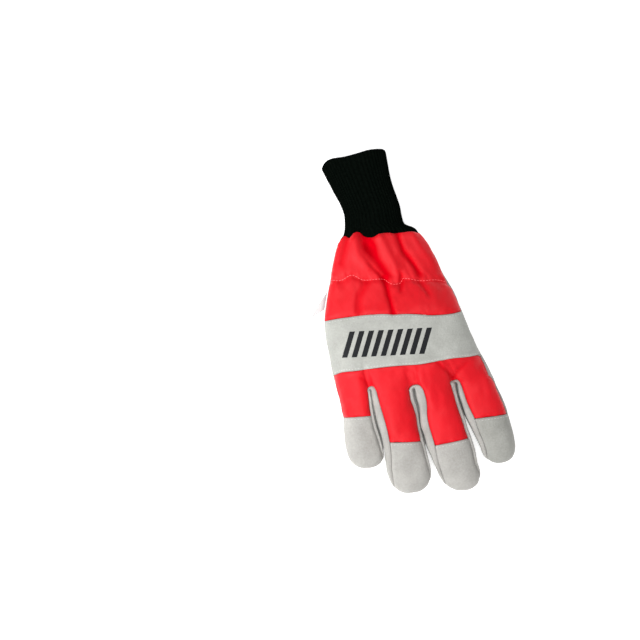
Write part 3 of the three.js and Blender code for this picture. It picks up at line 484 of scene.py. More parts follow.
def build_finger(f, crotch_row):
    finger = FINGERS[f]
    first = f * (FINGER_QUADS + WEB_QUADS)

    def line_start(t):
        return between(finger["crotch"], t)

    def line_cap(t):
        return -between(finger["cap"], t)

    start = finger_row(f, 0, 0, line_start, "start")
    own = dict(top=crotch_row["top"][first:first + FINGER_QUADS + 1],
               under=crotch_row["under"][first:first + FINGER_QUADS + 1], zone="start", sides=[])
    for right in (0, 1):
        end = -1 if right else 0
        if outer(f, right):
            own["sides"].append(crotch_row["sides"][right])
        else:
            own["sides"].append([own["top"][end]] + start["sides"][right][1:-1] + [own["under"][end]])
    rows = [own]
    cap_at = sum(finger["cap"]) / 2 / finger["reach"]
    strips = max(2, round(cap_at * finger["reach"] / ROW_LENGTH))
    caps = max(2, round((1 - cap_at) * finger["reach"] / ROW_LENGTH))
    for i in range(1, strips + 1):
        g = i / strips
        rows.append(finger_row(f, cap_at * g, 0,
                               lambda t, g=g: line_start(t) + (line_cap(t) - line_start(t)) * g, "strip"))
    for i in range(1, caps + 1):
        g = i / caps
        rows.append(finger_row(f, cap_at + (1 - cap_at) * g, 0,
                               lambda t, g=g: line_cap(t) + (-finger["reach"] - line_cap(t)) * g, "cap"))
    for r in TIP_ROWS[1:]:
        rows.append(finger_row(f, 1, r, lambda t: -finger["reach"] + 0 * t, "cap"))
    for a, b in zip(rows, rows[1:]):
        upper = "tip_cap_" + finger["name"] if b["zone"] == "cap" else "back_panel"
        strip(upper, a["top"], b["top"])
        strip("palm", a["under"][::-1], b["under"][::-1])
        for part, piece in ((UPPER_HALF, upper), (LOWER_HALF, "palm")):
            strip(piece if outer(f, False) else side_piece(f, False),
                  a["sides"][0][part][::-1], b["sides"][0][part][::-1])
            capped = outer(f, True) and b["zone"] == "cap"
            strip(piece if capped else side_piece(f, True), a["sides"][1][part], b["sides"][1][part])
    return rows


def build_turn(g, crotch_row, left_side, right_side):
    """The turn of a fourchette round its crotch."""
    _, slit, bulge = CROTCHES[g]
    base = g * (FINGER_QUADS + WEB_QUADS) + FINGER_QUADS
    path = [left_side]
    for i in range(1, WEB_QUADS):
        a, b = (np.array(points[crotch_row[k][base + i]]) for k in ("top", "under"))
        u = i / WEB_QUADS
        ids = [crotch_row["top"][base + i]]
        for q in range(1, SIDE_QUADS):
            f = q / SIDE_QUADS
            out = math.sin(math.pi * f)
            x = (a[0] + (b[0] - a[0]) * f) * (1 - out) + (slit * HAND_WIDTH + (u - 0.5) * SLIT_WIDTH) * out
            y = a[1] + (b[1] - a[1]) * f - bulge * out
            points.append([x, y, a[2] + (b[2] - a[2]) * (1 - math.cos(math.pi * f)) / 2])
            ids.append(len(points) - 1)
        path.append(ids + [crotch_row["under"][base + i]])
    path.append(right_side)
    for a, b in zip(path, path[1:]):
        strip(side_piece(g, True), b, a)


body_rows = build_body()
finger_rows = [build_finger(f, body_rows[-1]) for f in range(4)]
for g in range(3):
    build_turn(g, body_rows[-1], finger_rows[g][0]["sides"][1], finger_rows[g + 1][0]["sides"][0])

skin = np.array(points)


# Walls of leather and cloth
def vertex_normals():
    normals = np.zeros((len(points), 3))
    for _, ring in quads:
        for k in range(1, len(ring) - 1):
            a, b, c = ring[0], ring[k], ring[k + 1]
            n = np.cross(skin[b] - skin[a], skin[c] - skin[a])
            for v in (a, b, c):
                normals[v] += n
    return normals / np.maximum(1e-9, np.linalg.norm(normals, axis=1))[:, None]


def open_edges(rings):
    edges = {}
    for ring in rings:
        for k, a in enumerate(ring):
            b = ring[(k + 1) % len(ring)]
            if (b, a) in edges:
                del edges[(b, a)]
            else:
                edges[(a, b)] = True
    return list(edges)


def noise_at(spots, scale, seed):
    """Smooth noise from -1 to 1 at every spot, with features of about scale millimetres."""
    shift = Vector((seed * 17.3, seed * 5.1, seed * 9.7))
    return np.array([noise.fractal(Vector(p) / scale + shift, 1.0, 2.0, 2) for p in spots])


def seam_distance(spots, edges):
    seam = [skin[a] + (skin[b] - skin[a]) * f for a, b in edges for f in (0, 0.25, 0.5, 0.75)]
    tree = kdtree.KDTree(len(seam))
    for i, spot in enumerate(seam):
        tree.insert(spot, i)
    tree.balance()
    return np.array([tree.find(p)[2] for p in spots])


def hill(far, up, at, spread):
    """A rounded rise of up mm, at mm from a line and spread mm wide; less than nothing is a dip."""
    return up * np.exp(-((far - at) / spread) ** 2)


def leather_dress(spots, far, normals):
    """Puffs up a little beside its seams and dips into them, less where a seam runs round an edge."""
    face_on = 0.25 + 0.75 * np.abs(normals[:, 2])
    return (face_on * (hill(far, 0.5, 2.6, 1.7) + hill(far, -0.22, 0, 0.9))
            + 0.55 * noise_at(spots, 22, 1) + 0.18 * noise_at(spots, 6, 2))


def strip_dress(spots, far, normals):
    """The side strips stay flatter, so that two fingers can touch."""
    return hill(far, 0.45, 1.7, 1.1) + hill(far, -0.3, 0, 0.7) - 0.15 + 0.16 * noise_at(spots, 9, 1)


def woven_dress(spots, far, normals):
    """Softer: pulled in at its seams, with puckers that fade away from them."""
    return (hill(far, -0.7, 0, 1.8) + 0.55 * noise_at(spots, 3.6, 3) * hill(far, 1, 0, 4.5)
            + 0.7 * noise_at(spots, 26, 4) + 0.3 * noise_at(spots, 10, 5)
            + 0.42 * noise_at(spots * (1, 0.45, 1), 7, 10))


def elastic_dress(spots, far, normals):
    """The wrist: woven, and drawn in along its elastic line with puckers across it."""
    line = path_distance(spots[:, 0], spots[:, 1], ELASTIC)
    puckers = hill(line, 1, 0, 6.5) * noise_at(spots * (1, 0.45, 1), 4.2, 6)
    top = smooth(8, 14, spots[:, 2])
    return woven_dress(spots, far, normals) + top * (hill(line, -1.3, 0, 2.1) + 0.9 * puckers)


def to_frame(spots):
    return (np.array(spots, float) - CENTRE) * MM


def ring_faces(a, b, across, flip=False):
    """Faces between two closed rings of points, the one from point a on and the one from b on."""
    faces = []
    for k in range(across):
        m = (k + 1) % across
        faces.append([a + k, b + k, b + m, a + m] if flip else [a + k, a + m, b + m, b + k])
    return faces


def mesh_object(name, spots, faces, material):
    mesh = bpy.data.meshes.new(name)
    mesh.from_pydata(to_frame(spots).tolist(), [], [list(map(int, f)) for f in faces])
    mesh.update()
    mesh.polygons.foreach_set("use_smooth", [True] * len(mesh.polygons))
    mesh.materials.append(material)
    obj = bpy.data.objects.new(name, mesh)
    scene.collection.objects.link(obj)
    return obj


def belongs(obj, slot, *nodes):
    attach(obj, "root")
    if nodes:
        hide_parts(*nodes)
    return obj


# The rounded edge of a wall at a seam, in steps: mm away from the seam, mm below the surface
EDGE_STEPS = ((0.3, 0.05), (0.13, 0.3), (0.06, 0.8))


def wall(piece, name, dress, thick, material, cut=None):
    """A patch of the skin as a wall with rounded edges that sink into the seams."""
    rings = [ring for owner, ring in quads if owner == piece]
    if cut:
        rings = [ring for ring in rings if not cut(skin[ring].mean(axis=0))]
    edges = open_edges(rings)
    used = sorted({v for ring in rings for v in ring})
    index = {v: i for i, v in enumerate(used)}
    spots, normals = skin[used], skin_normals[used]
    far = seam_distance(spots, edges)
    outside = spots + normals * dress(spots, far, normals)[:, None]
    outside[:, 2] = np.maximum(0, outside[:, 2])
    inward = {}
    for a, b in edges:
        for v in (a, b):
            w = np.cross(skin_normals[v], skin[b] - skin[a])
            inward.setdefault(v, []).append(w / max(1e-9, np.linalg.norm(w)))
    rim = list(inward)
    place_in_rim = {v: i for i, v in enumerate(rim)}
    at_rim = np.array([index[v] for v in rim])
    pull = np.array([np.sum(inward[v], axis=0) * (0.6 if len(inward[v]) > 1 else 1) for v in rim])
    inside = outside - normals * thick
    edge_spots, edge_normals = outside[at_rim].copy(), normals[at_rim]
    pull *= 0.3 + 0.7 * np.abs(edge_normals[:, 2:3])
    layers = [edge_spots + pull * p - edge_normals * d for p, d in EDGE_STEPS]
    outside[at_rim] = layers[0]
    inside[at_rim] += pull * 0.15
    count = len(used)
    second, third = 2 * count, 2 * count + len(rim)
    faces = []
    for ring in rings:
        faces.append([index[v] for v in ring])
        faces.append([index[v] + count for v in reversed(ring)])
    for a, b in edges:
        i, j = index[a], index[b]
        k, m = place_in_rim[a], place_in_rim[b]
        chain = [(i, j), (second + k, second + m), (third + k, third + m), (i + count, j + count)]
        for (p, q), (r, s) in zip(chain, chain[1:]):
            faces.append([p, r, s, q])
    obj = mesh_object(name, np.concatenate([outside, inside, layers[1], layers[2]]), faces, material)
    # The fold height, kept for the red cloth, whose material paints shade into the creases with it
    crease = fold_height(spots[:, 0], spots[:, 1])
    values = np.concatenate([crease, crease, crease[at_rim], crease[at_rim]])
    obj.data.attributes.new("crease", "FLOAT", "POINT").data.foreach_set("value", values)
    return obj


# Materials
# How strongly leather and cloth mirror the light
SPECULAR = 0.25
# Sockets of a Mix node that mixes colours
MIX_FACTOR, MIX_A, MIX_B, MIXED = 0, 6, 7, 2


def srgb(code):
    parts = [int(code[i:i + 2], 16) / 255 for i in (1, 3, 5)]
    return [p / 12.92 if p <= 0.04045 else ((p + 0.055) / 1.055) ** 2.4 for p in parts] + [1]


def fill(tree, node, inputs):
    """Gives each named input of a node a socket to link, a hex colour or a plain value."""
    for key, value in dict(inputs).items():
        if isinstance(value, bpy.types.NodeSocket):
            tree.links.new(value, node.inputs[key])
        else:
            colour = isinstance(value, str) and value.startswith("#")
            node.inputs[key].default_value = srgb(value) if colour else value


def add_node(tree, kind, inputs=(), stops=(), **settings):
    """A node with its settings, its inputs and, on a colour ramp, its stops."""
    made = tree.nodes.new(kind)
    for key, value in settings.items():
        setattr(made, key, value)
    fill(tree, made, inputs)
    for i, (at, code) in enumerate(stops):
        made.color_ramp.elements[i].position = at
        made.color_ramp.elements[i].color = srgb(code)
    return made


class Finish:
    """A material, its shader and the coordinates of the piece that wears it."""

    def __init__(self, name, inputs):
        self.material = bpy.data.materials.new(name)
        self.material.use_nodes = True
        self.shader = self.material.node_tree.nodes["Principled BSDF"]
        self.set({"Specular IOR Level": SPECULAR, "Sheen Tint": "#ffffff", **inputs})
        self.where = self.node("ShaderNodeTexCoord").outputs["Object"]

    def set(self, inputs):
        fill(self.material.node_tree, self.shader, inputs)

    def node(self, kind, inputs=(), stops=(), **settings):
        return add_node(self.material.node_tree, kind, inputs, stops, **settings)

    def mottle(self, size, detail, *stops):
        """A colour that wanders between two tones in patches of about size mm."""
        spots = self.node("ShaderNodeTexNoise", {
            "Vector": self.where, "Scale": 1 / (size * MM), "Detail": detail})
        return self.node("ShaderNodeValToRGB", {"Fac": spots.outputs["Fac"]}, stops).outputs["Color"]

    def relief(self, size, detail, deep, strength, under=None):
        """Bumps of about size mm across and deep mm high, on top of what lies under them."""
        bumps = self.node("ShaderNodeTexNoise", {
            "Vector": self.where, "Scale": 1 / (size * MM), "Detail": detail})
        inputs = {"Height": bumps.outputs["Fac"], "Distance": deep * MM, "Strength": strength}
        if under:
            inputs["Normal"] = under
        return self.node("ShaderNodeBump", inputs).outputs["Normal"]


def plan_place(spot, turn):
    """The place and turn of a Mapping node that starts at a plan spot, turned by degrees."""
    x, y = ((spot - CENTRE[:2]) * MM).tolist()
    return {"Location": (x, y, 0), "Rotation": (0, 0, math.radians(turn))}


def suede(name, dark, light):
    """Split leather with the nap outside: matt and cloudy, with short fibres.

    The fibres are drawn about 1.6 mm across, far coarser than real ones, so that they show.
    """
    f = Finish(name, {"Roughness": 0.95, "Sheen Weight": 0.25, "Sheen Tint": "#f4f4f0"})
    clouds = f.mottle(18.18, 3, (0.3, dark), (0.7, light))
    fibres = f.mottle(1.613, 3, (0.3, "#ebebe9"), (0.7, "#ffffff"))
    mixed = f.node("ShaderNodeMix", {MIX_FACTOR: 0.8, MIX_A: clouds, MIX_B: fibres},
                   data_type="RGBA", blend_type="MULTIPLY")
    nap = f.relief(1.111, 4, 0.5, 0.5)
    f.set({"Base Color": mixed.outputs[MIXED], "Normal": f.relief(7.143, 2, 0.8, 0.35, nap)})
    return f


def weave(name, deep, bright):
    """Fluorescent polyester plain weave: bright and slightly silky, with painted shade in its creases: a
    darker red and less shine where the fold height dips.

    The threads are drawn 1 mm apart, about twice as coarse as real ones, so that they show.
    """
    thread_spacing = 1.0472
    # Depth of a crease, in mm, at which the painted crease shade is at its darkest
    valley_deep = 2.381
    f = Finish(name, {"Roughness": 0.5, "Sheen Weight": 0.06, "Sheen Tint": "#ff8a8c"})
    # Painted crease shade: the fold height darkens the red towards #c40012 and takes the shine away in the
    # creases
    crease = f.node("ShaderNodeAttribute", attribute_name="crease").outputs["Fac"]
    valley = f.node("ShaderNodeMapRange", {"Value": crease, "From Max": -valley_deep}).outputs["Result"]
    shine = f.node("ShaderNodeMapRange", {"Value": valley, "To Min": SPECULAR, "To Max": 0}).outputs["Result"]
    plain = f.mottle(25, 2, (0.3, deep), (0.75, bright))
    mixed = f.node("ShaderNodeMix", {MIX_FACTOR: valley, MIX_A: plain, MIX_B: "#c40012"}, data_type="RGBA")
    threads = [f.node("ShaderNodeTexWave", {
        "Vector": f.where, "Distortion": 0.6, "Scale": math.pi / 10 / (thread_spacing * MM)},
        bands_direction=way).outputs["Fac"] for way in ("X", "Y")]
    crossed = f.node("ShaderNodeMath", dict(enumerate(threads)), operation="MULTIPLY").outputs[0]
    cloth = f.node("ShaderNodeBump", {"Height": crossed, "Distance": 0.2 * MM, "Strength": 0.35})
    f.set({"Base Color": mixed.outputs[MIXED], "Specular IOR Level": shine,
           "Normal": f.relief(3.846, 2, 0.4, 0.25, cloth.outputs["Normal"])})
    return f


leather = suede("grey_split_suede", "#9f9d99", "#aeaca8")
# The same suede in darker tones as painted shade, for the index cap, which lies furthest from the lamps at
# the left
leather_with_painted_shade = suede("grey_split_suede_painted_shade", "#92928d", "#a0a09b")
red = weave("fluorescent_red_woven_polyester", "#ca0012", "#d40318")

# Black elastic rib knit: soft, fuzzy and nearly without shine
rib = Finish("black_rib_knit_cotton", {"Roughness": 0.95, "Specular IOR Level": 0.02})
rib.set({"Base Color": rib.mottle(2, 2, (0.3, "#020503"), (0.7, "#060a07")),
         "Normal": rib.relief(0.9091, 3, 0.4, 0.5)})

# White satin ribbon of the care label: smooth, with a soft gloss. Its white is painted down to a light grey,
# as painted shade, so that it stands out against the floor
satin = Finish("white_satin_ribbon", {"Roughness": 0.45, "Sheen Weight": 0.1})
satin.set({"Base Color": satin.mottle(11.11, 2, (0.3, "#bdb8b8"), (0.7, "#c9c5c5")),
           "Normal": satin.relief(0.6667, 1, 0.1, 0.4)})

# Sewing threads: smooth filaments with a little gloss
pink_thread = Finish("rose_polyester_thread", {
    "Base Color": "#ff6b70", "Roughness": 0.55, "Sheen Weight": 0.1})
grey_thread = Finish("grey_polyester_thread", {
    "Base Color": "#c2c3c0", "Roughness": 0.6, "Sheen Weight": 0.1})

# Band over the knuckles: the same suede with a plain print of slanted black bars
PRINT_CENTRE = (-11.4, 41.7)
PRINT_TURN = -8
PRINT_HALF = (36.0, 11.0)
PRINT_PITCH = 8.2
PRINT_BAR = 0.56
PRINT_SLANT = 0.35
printed = suede("grey_split_suede_printed", "#9fa09b", "#aeafaa")
plain_colour = printed.shader.inputs["Base Color"].links[0].from_socket
placed = printed.node("ShaderNodeMapping", {"Vector": printed.where, **plan_place(PRINT_CENTRE, PRINT_TURN)},
                      vector_type="TEXTURE")
plan = printed.node("ShaderNodeSeparateXYZ", {"Vector": placed.outputs["Vector"]}).outputs
slanted = printed.node("ShaderNodeMath", {0: plan["Y"], 1: -PRINT_SLANT, 2: plan["X"]},
                       operation="MULTIPLY_ADD").outputs[0]
ink = slanted
for operation, a, b in (("MULTIPLY_ADD", 1 / (PRINT_PITCH * MM), PRINT_BAR / 2), ("FRACT", 0, 0),
                        ("LESS_THAN", PRINT_BAR, 0)):
    ink = printed.node("ShaderNodeMath", {0: ink, 1: a, 2: b}, operation=operation).outputs[0]
for value, half in zip((slanted, plan["Y"]), PRINT_HALF):
    inside = printed.node("ShaderNodeMath", {0: value, 1: 0, 2: half * MM}, operation="COMPARE").outputs[0]
    ink = printed.node("ShaderNodeMath", {0: ink, 1: inside}, operation="MULTIPLY").outputs[0]
mixed = printed.node("ShaderNodeMix", {MIX_FACTOR: ink, MIX_A: plain_colour, MIX_B: "#15171a"},
                     data_type="RGBA")
printed.set({"Base Color": mixed.outputs[MIXED]})

# The sewn pieces
skin_normals = vertex_normals()


def in_hole(spot):
    """Whether a spot of the palm lies in the hole that the thumb leaves through."""
    dx, dy = spot[0] - HOLE[0], spot[1] - HOLE[1]
    along = dx * THUMB_WAY[0] + dy * THUMB_WAY[1]
    aside = -dx * THUMB_WAY[1] + dy * THUMB_WAY[0]
    return spot[2] < LIFT + 3 and math.hypot(along / (HOLE_HALF[0] + 0.7), aside / (HOLE_HALF[1] + 0.7)) < 1


DRESSED = [("wrist_panel", elastic_dress, red), ("back_panel", woven_dress, red),
           ("knuckle_band", leather_dress, printed)]
DRESSED += [("tip_cap_" + finger["name"], leather_dress, leather) for finger in FINGERS[:3]]
# The index cap wears the suede with painted shade
DRESSED += [("tip_cap_index", leather_dress, leather_with_painted_shade)]
DRESSED += [(side_piece(g, True), strip_dress, leather) for g in range(3)]
DRESSED += [("palm", leather_dress, leather)]
sewn = {}
for piece, dress, finish in DRESSED:
    kind, ending = ("woven", "_woven") if finish is red else ("leather", "_suede")
    obj = wall(piece, piece + ending, dress, WALL[kind], finish.material,
               in_hole if piece == "palm" else None)
    if piece != "palm":
        rounding = obj.modifiers.new("rounding", "SUBSURF")
        rounding.levels = rounding.render_levels = 1
    sewn[piece] = belongs(obj, kind, piece)

# The rib knit cuff
RIBS = 52
RIB_COLUMNS = 6
RIB_DEEP = 0.45
CUFF_ROWS = {"cuff": 22, "knitSeam": 18}
# How far the knit draws in below the woven wrist, in mm
CUFF_TUCK = 0.9


def cuff():
    angles = np.arange(RIBS * RIB_COLUMNS) * 2 * math.pi / (RIBS * RIB_COLUMNS)
    c, s = np.cos(angles), np.sin(angles)
    upper = s >= 0
    power = np.where(upper, TOP_POWER, UNDER_POWER)
    t = -np.sign(c) * np.abs(c) ** (2 / power)
    wave = np.cos(angles * RIBS)
    meet = np.zeros((len(t), 2))
    rows = []
    for a, b in zip(LINES[:2], LINES[1:3]):
        count = CUFF_ROWS[b[0]]
        for r in range(1 if rows else 0, count + 1):
            parts = [body_points(a, b, r / count, t, low, meet) for low in (False, True)]
            x, y, z, _ = (np.where(upper, p, q) for p, q in zip(*parts))
            rows.append(np.stack([x, y, np.maximum(0, z - FLAT_CUT) + np.where(
                upper, LIFT_TOP_SHARE, 1) * lift(x, y)], axis=1))
    rows = np.array(rows)
    middle = rows.mean(axis=1, keepdims=True)
    along = np.gradient(rows, axis=0)
    round_way = np.roll(rows, -1, axis=1) - np.roll(rows, 1, axis=1)
    normal = np.cross(along, round_way)
    normal /= np.linalg.norm(normal, axis=2, keepdims=True)
    if np.sum(normal * (rows - middle)) < 0:
        normal = -normal
    rows[:, :, 2] += fold_height(rows[:, :, 0], rows[:, :, 1]) * np.where(upper, off_edge(t), 0)
    tuck = CUFF_TUCK * smooth(0.82, 1, np.linspace(0, 1, len(rows)))[:, None]
    soft = noise_at(rows.reshape(-1, 3), 24, 7).reshape(rows.shape[:2]) * 0.8
    outside = rows + normal * (RIB_DEEP * wave[None, :] - RIB_DEEP + soft - tuck)[:, :, None]
    inside = rows - normal * (WALL["knit"] + tuck)[:, :, None]
    outside[0] -= normal[0] * 0.5
    outside[:, :, 2] = np.maximum(0, outside[:, :, 2])
    across = outside.shape[1]
    n = outside.shape[0] * across
    lip = (outside[0] + inside[0]) / 2 - (outside[1] - outside[0]) * 0.5
    spots = np.concatenate([outside.reshape(-1, 3), inside.reshape(-1, 3), lip])
    faces = ring_faces(0, 2 * n, across, True) + ring_faces(2 * n, n, across, True)
    faces += ring_faces(n - across, 2 * n - across, across)
    for a in range(0, n - across, across):
        faces += ring_faces(a, a + across, across) + ring_faces(a + n, a + across + n, across, True)
    return mesh_object("cuff_rib_knit", spots, faces, rib.material)


belongs(cuff(), "knit", "cuff_knit")

# The thumb, under the palm
THUMB_COLUMNS = 40


def thumb():
    way = np.array([THUMB_WAY[0], THUMB_WAY[1], 0])
    across = np.array([-THUMB_WAY[1], THUMB_WAY[0], 0])
    down = np.array([0, 0, -1.0])
    start = np.array([HOLE[0], HOLE[1], LIFT])
    hinge = start + way * (HOLE_HALF[0] + THUMB_CLEAR)
    rings = []

    def ring(centre, radial, half_radial, half_across, power):
        angle = 2 * math.pi * np.arange(THUMB_COLUMNS) / THUMB_COLUMNS
        c, s = np.cos(angle), np.sin(angle)
        a = np.sign(s) * np.abs(s) ** (2 / power) * half_across
        d = np.sign(c) * np.abs(c) ** (2 / power) * half_radial
        spots = centre + a[:, None] * across + d[:, None] * radial
        spots[:, 2] = np.maximum(0, spots[:, 2] - THUMB_FLAT)
        rings.append(spots)

    for up in (WALL["leather"] + 1.2, 0):
        ring(start + (0, 0, up), -way, *HOLE_HALF, 2)
    for share in np.linspace(0.1, 1, 10):
        angle = share * math.pi / 2
        half = HOLE_HALF[0] + (THUMB_HALF_DEPTH - HOLE_HALF[0]) * math.sin(angle)
        radial = -way * math.cos(angle) + down * math.sin(angle)
        ring(hinge + radial * (THUMB_CLEAR + half), radial, half,
             HOLE_HALF[1] + (THUMB_HALF_WIDTH - HOLE_HALF[1]) * share, 2 + share)
    start = hinge + down * (THUMB_CLEAR + THUMB_HALF_DEPTH)
    straight = THUMB_LENGTH - HOLE_HALF[0]
    for share in np.linspace(0.06, 0.66, 14):
        ring(start + way * share * straight, down, THUMB_HALF_DEPTH,
             THUMB_HALF_WIDTH * (1 - 0.07 * share), 3)
    for share in (0.2, 0.4, 0.55, 0.7, 0.8, 0.88, 0.94, 0.985):
        shrink = math.sqrt(1 - share * share)
        ring(start + way * straight * (0.66 + 0.34 * share), down, THUMB_HALF_DEPTH * shrink ** 0.6,
             THUMB_HALF_WIDTH * 0.93 * shrink, 2.3)
    count = len(rings) * THUMB_COLUMNS
    outside = np.concatenate(rings)
    tip = start + way * straight
    last = count - THUMB_COLUMNS
    around = []
    for a in range(0, last, THUMB_COLUMNS):
        around += ring_faces(a, a + THUMB_COLUMNS, THUMB_COLUMNS)
    around += [[last + k, last + (k + 1) % THUMB_COLUMNS, count] for k in range(THUMB_COLUMNS)]
    spots = np.concatenate([outside, tip[None]])
    normals = np.zeros_like(spots)
    for face in around:
        n = np.cross(spots[face[1]] - spots[face[0]], spots[face[2]] - spots[face[0]])
        for v in face:
            normals[v] += n
    normals /= np.linalg.norm(normals, axis=1)[:, None]
    soft = 0.3 * noise_at(spots, 14, 8)
    outer_wall = spots + normals * soft[:, None]
    outer_wall[:, 2] = np.maximum(0, outer_wall[:, 2])
    inner_wall = spots - normals * WALL["leather"]
    n = len(spots)
    faces = around + [[v + n for v in reversed(face)] for face in around]
    faces += ring_faces(0, n, THUMB_COLUMNS, True)
    return mesh_object("thumb_suede", np.concatenate([outer_wall, inner_wall]), faces, leather.material)


belongs(thumb(), "leather", "thumb")

# The care label
# Rows of the ribbon: share of the body length, mm out of the side edge, mm below it, for both ends
LABEL = ((0.405, 0.7, 0.2, 0.293, 0.7, 0.0), (0.42, 5.0, 1.2, 0.343, 5.0, 1.2),
         (0.43, 9.0, 3.0, 0.39, 8.6, 2.6), (0.436, 12.0, 4.6, 0.425, 11.0, 4.3))
LABEL_THICK = 0.5


def label():
    """A ribbon folded out of the little finger side seam, drooping towards its free end."""
    def corner(share, out, drop):
        y = y_of(share)
        mid = PALM_THICK * float(body_at("thick", y)) * MID_SHARE
        x = HAND_WIDTH * float(body_at("left", y)) - out
        return np.array([x, y, mid - drop - 0.4])
    ends = np.array([(corner(*row[:3]), corner(*row[3:])) for row in LABEL])
    rows = np.array([[a + (b - a) * f for f in np.linspace(0, 1, 7)] for a, b in ends])
    flat = rows.reshape(-1, 3)
    n = len(flat)
    flat[:, 2] += 0.25 * noise_at(flat, 8, 9)
    spots = np.concatenate([flat, flat - (0, 0, LABEL_THICK)])
    faces = []
    wide = rows.shape[1]
    for r in range(rows.shape[0] - 1):
        for k in range(wide - 1):
            ring = [r * wide + k, r * wide + k + 1, (r + 1) * wide + k + 1, (r + 1) * wide + k]
            faces.append(ring)
            faces.append([v + n for v in reversed(ring)])
    for a, b in open_edges(faces[::2]):
        faces.append([b, a, a + n, b + n])
    return mesh_object("care_label_satin", spots, faces, satin.material)


belongs(label(), "label", "care_label")


# Stitches
def stitch_group():
    """Short threads laid along a line of edges, each turned to the line and to the surface."""
    group = bpy.data.node_groups.new("stitch row", "GeometryNodeTree")
    face = group.interface
    face.new_socket(name="Line", in_out="INPUT", socket_type="NodeSocketGeometry")
    keys = {}
    for name, kind in (("Pitch", "NodeSocketFloat"), ("Stitch size", "NodeSocketVector"),
                       ("Thread", "NodeSocketMaterial")):
        keys[name] = face.new_socket(name=name, in_out="INPUT", socket_type=kind).identifier
    face.new_socket(name="Stitches", in_out="OUTPUT", socket_type="NodeSocketGeometry")

    def node(kind, inputs=(), **settings):
        return add_node(group, kind, inputs, **settings)
    start = node("NodeGroupInput").outputs
    curve = node("GeometryNodeMeshToCurve", {"Mesh": start["Line"]}).outputs["Curve"]
    spaced = node("GeometryNodeResampleCurve", {"Curve": curve, "Length": start["Pitch"]},
                  mode="LENGTH").outputs["Curve"]
    thread = node("GeometryNodeMeshUVSphere", {"Segments": 8, "Rings": 6, "Radius": 0.5}).outputs["Mesh"]
    tangent = node("GeometryNodeInputTangent").outputs["Tangent"]
    along = node("FunctionNodeAlignRotationToVector", {"Vector": tangent}, axis="X").outputs["Rotation"]
    surface = node("GeometryNodeInputNamedAttribute", {"Name": "surface"}, data_type="FLOAT_VECTOR")
    upright = node("FunctionNodeAlignRotationToVector", {
        "Rotation": along, "Vector": surface.outputs["Attribute"]}, axis="Z", pivot_axis="X")
    laid = node("GeometryNodeInstanceOnPoints", {
        "Points": spaced, "Instance": thread, "Rotation": upright.outputs["Rotation"],
        "Scale": start["Stitch size"]}).outputs["Instances"]
    real = node("GeometryNodeRealizeInstances", {"Geometry": laid}).outputs["Geometry"]
    rounded = node("GeometryNodeSetShadeSmooth", {"Geometry": real}).outputs["Geometry"]
    finish = node("GeometryNodeSetMaterial", {"Geometry": rounded, "Material": start["Thread"]})
    node("NodeGroupOutput", {"Stitches": finish.outputs["Geometry"]})
    return group, keys


STITCH_GROUP, STITCH_KEYS = stitch_group()


def draped(path, host):
    """The plan path laid on top of the host piece: points and normals in metres."""
    tree = bvhtree.BVHTree.FromObject(host, bpy.context.evaluated_depsgraph_get())
    spots, normals = [], []
    for x, y in path:
        spot, normal, *_ = tree.ray_cast(Vector(to_frame([(x, y, 120)])[0]), Vector((0, 0, -1)))
        if spot is not None and normal.z > 0.25:
            spots.append(spot)
            normals.append(normal)
    return spots, normals


def stitch_row(name, path, host, slot, finish, pitch=2.7, long=2.0, wide=0.42):
    """A row of stitches along a plan path on the host piece, sunk a little into it."""
    spots, normals = draped(path, host)
    mesh = bpy.data.meshes.new(name)
    mesh.from_pydata([s - n * 0.03 * MM for s, n in zip(spots, normals)],
                     [(i, i + 1) for i in range(len(spots) - 1)], [])
    surface = mesh.attributes.new("surface", "FLOAT_VECTOR", "POINT")
    surface.data.foreach_set("vector", np.array(normals).ravel())
    obj = bpy.data.objects.new(name, mesh)
    scene.collection.objects.link(obj)
    row = obj.modifiers.new("stitches", "NODES")
    row.node_group = STITCH_GROUP
    row[STITCH_KEYS["Pitch"]] = pitch * MM
    row[STITCH_KEYS["Stitch size"]] = (long * MM, wide * MM, wide * 0.8 * MM)
    row[STITCH_KEYS["Thread"]] = finish.material
    deps = bpy.context.evaluated_depsgraph_get()
    plain = bpy.data.meshes.new_from_object(obj.evaluated_get(deps))
    obj.modifiers.clear()
    obj.data = plain
    return belongs(obj, slot)


def smooth_path(path, step=0.6):
    """Points every step millimetres along a rounded line through the points of path."""
    spots = np.array(path, float)
    length = np.concatenate([[0], np.cumsum(np.linalg.norm(np.diff(spots, axis=0), axis=1))])
    at = np.arange(0, length[-1], step)
    table = dict(at=length, x=spots[:, 0], y=spots[:, 1])
    return np.stack([read(table, "x", at), read(table, "y", at)], axis=1)


def across_body(line, off):
    """A plan path beside a line of the back, off millimetres towards the cuff."""
    across = np.linspace(0.02, 0.98, 240)
    y = line_y(line, across, False) + off
    left, right = HAND_WIDTH * body_at("left", y), HAND_WIDTH * body_at("right", y)
    return np.stack([left + (right - left) * across, y], axis=1)


def across_cap(f, off):
    """A plan path beside the seam of a finger cap, off millimetres towards the tip."""
    finger = FINGERS[f]
    at = sum(finger["cap"]) / 2 / finger["reach"]
    section = finger_section(f, at)
    t = np.linspace(-section["seams"][0] + 0.06, section["seams"][1] - 0.06, 60)
    return np.stack([section["middle"] + t * section["half"], -between(finger["cap"], t) - off], axis=1)


stitch_row("stitches_elastic", smooth_path(ELASTIC), sewn["wrist_panel"], "woven", pink_thread, 2.6, 2.3, 0.5)
stitch_row("stitches_band_upper", across_body(LINES[4], -1.9), sewn["knuckle_band"], "leather", grey_thread)
stitch_row("stitches_band_lower", across_body(LINES[5], 1.9), sewn["knuckle_band"], "leather", grey_thread)
for f, finger in enumerate(FINGERS):
    stitch_row("stitches_cap_" + finger["name"], across_cap(f, 1.9), sewn["tip_cap_" + finger["name"]],
               "leather", grey_thread)
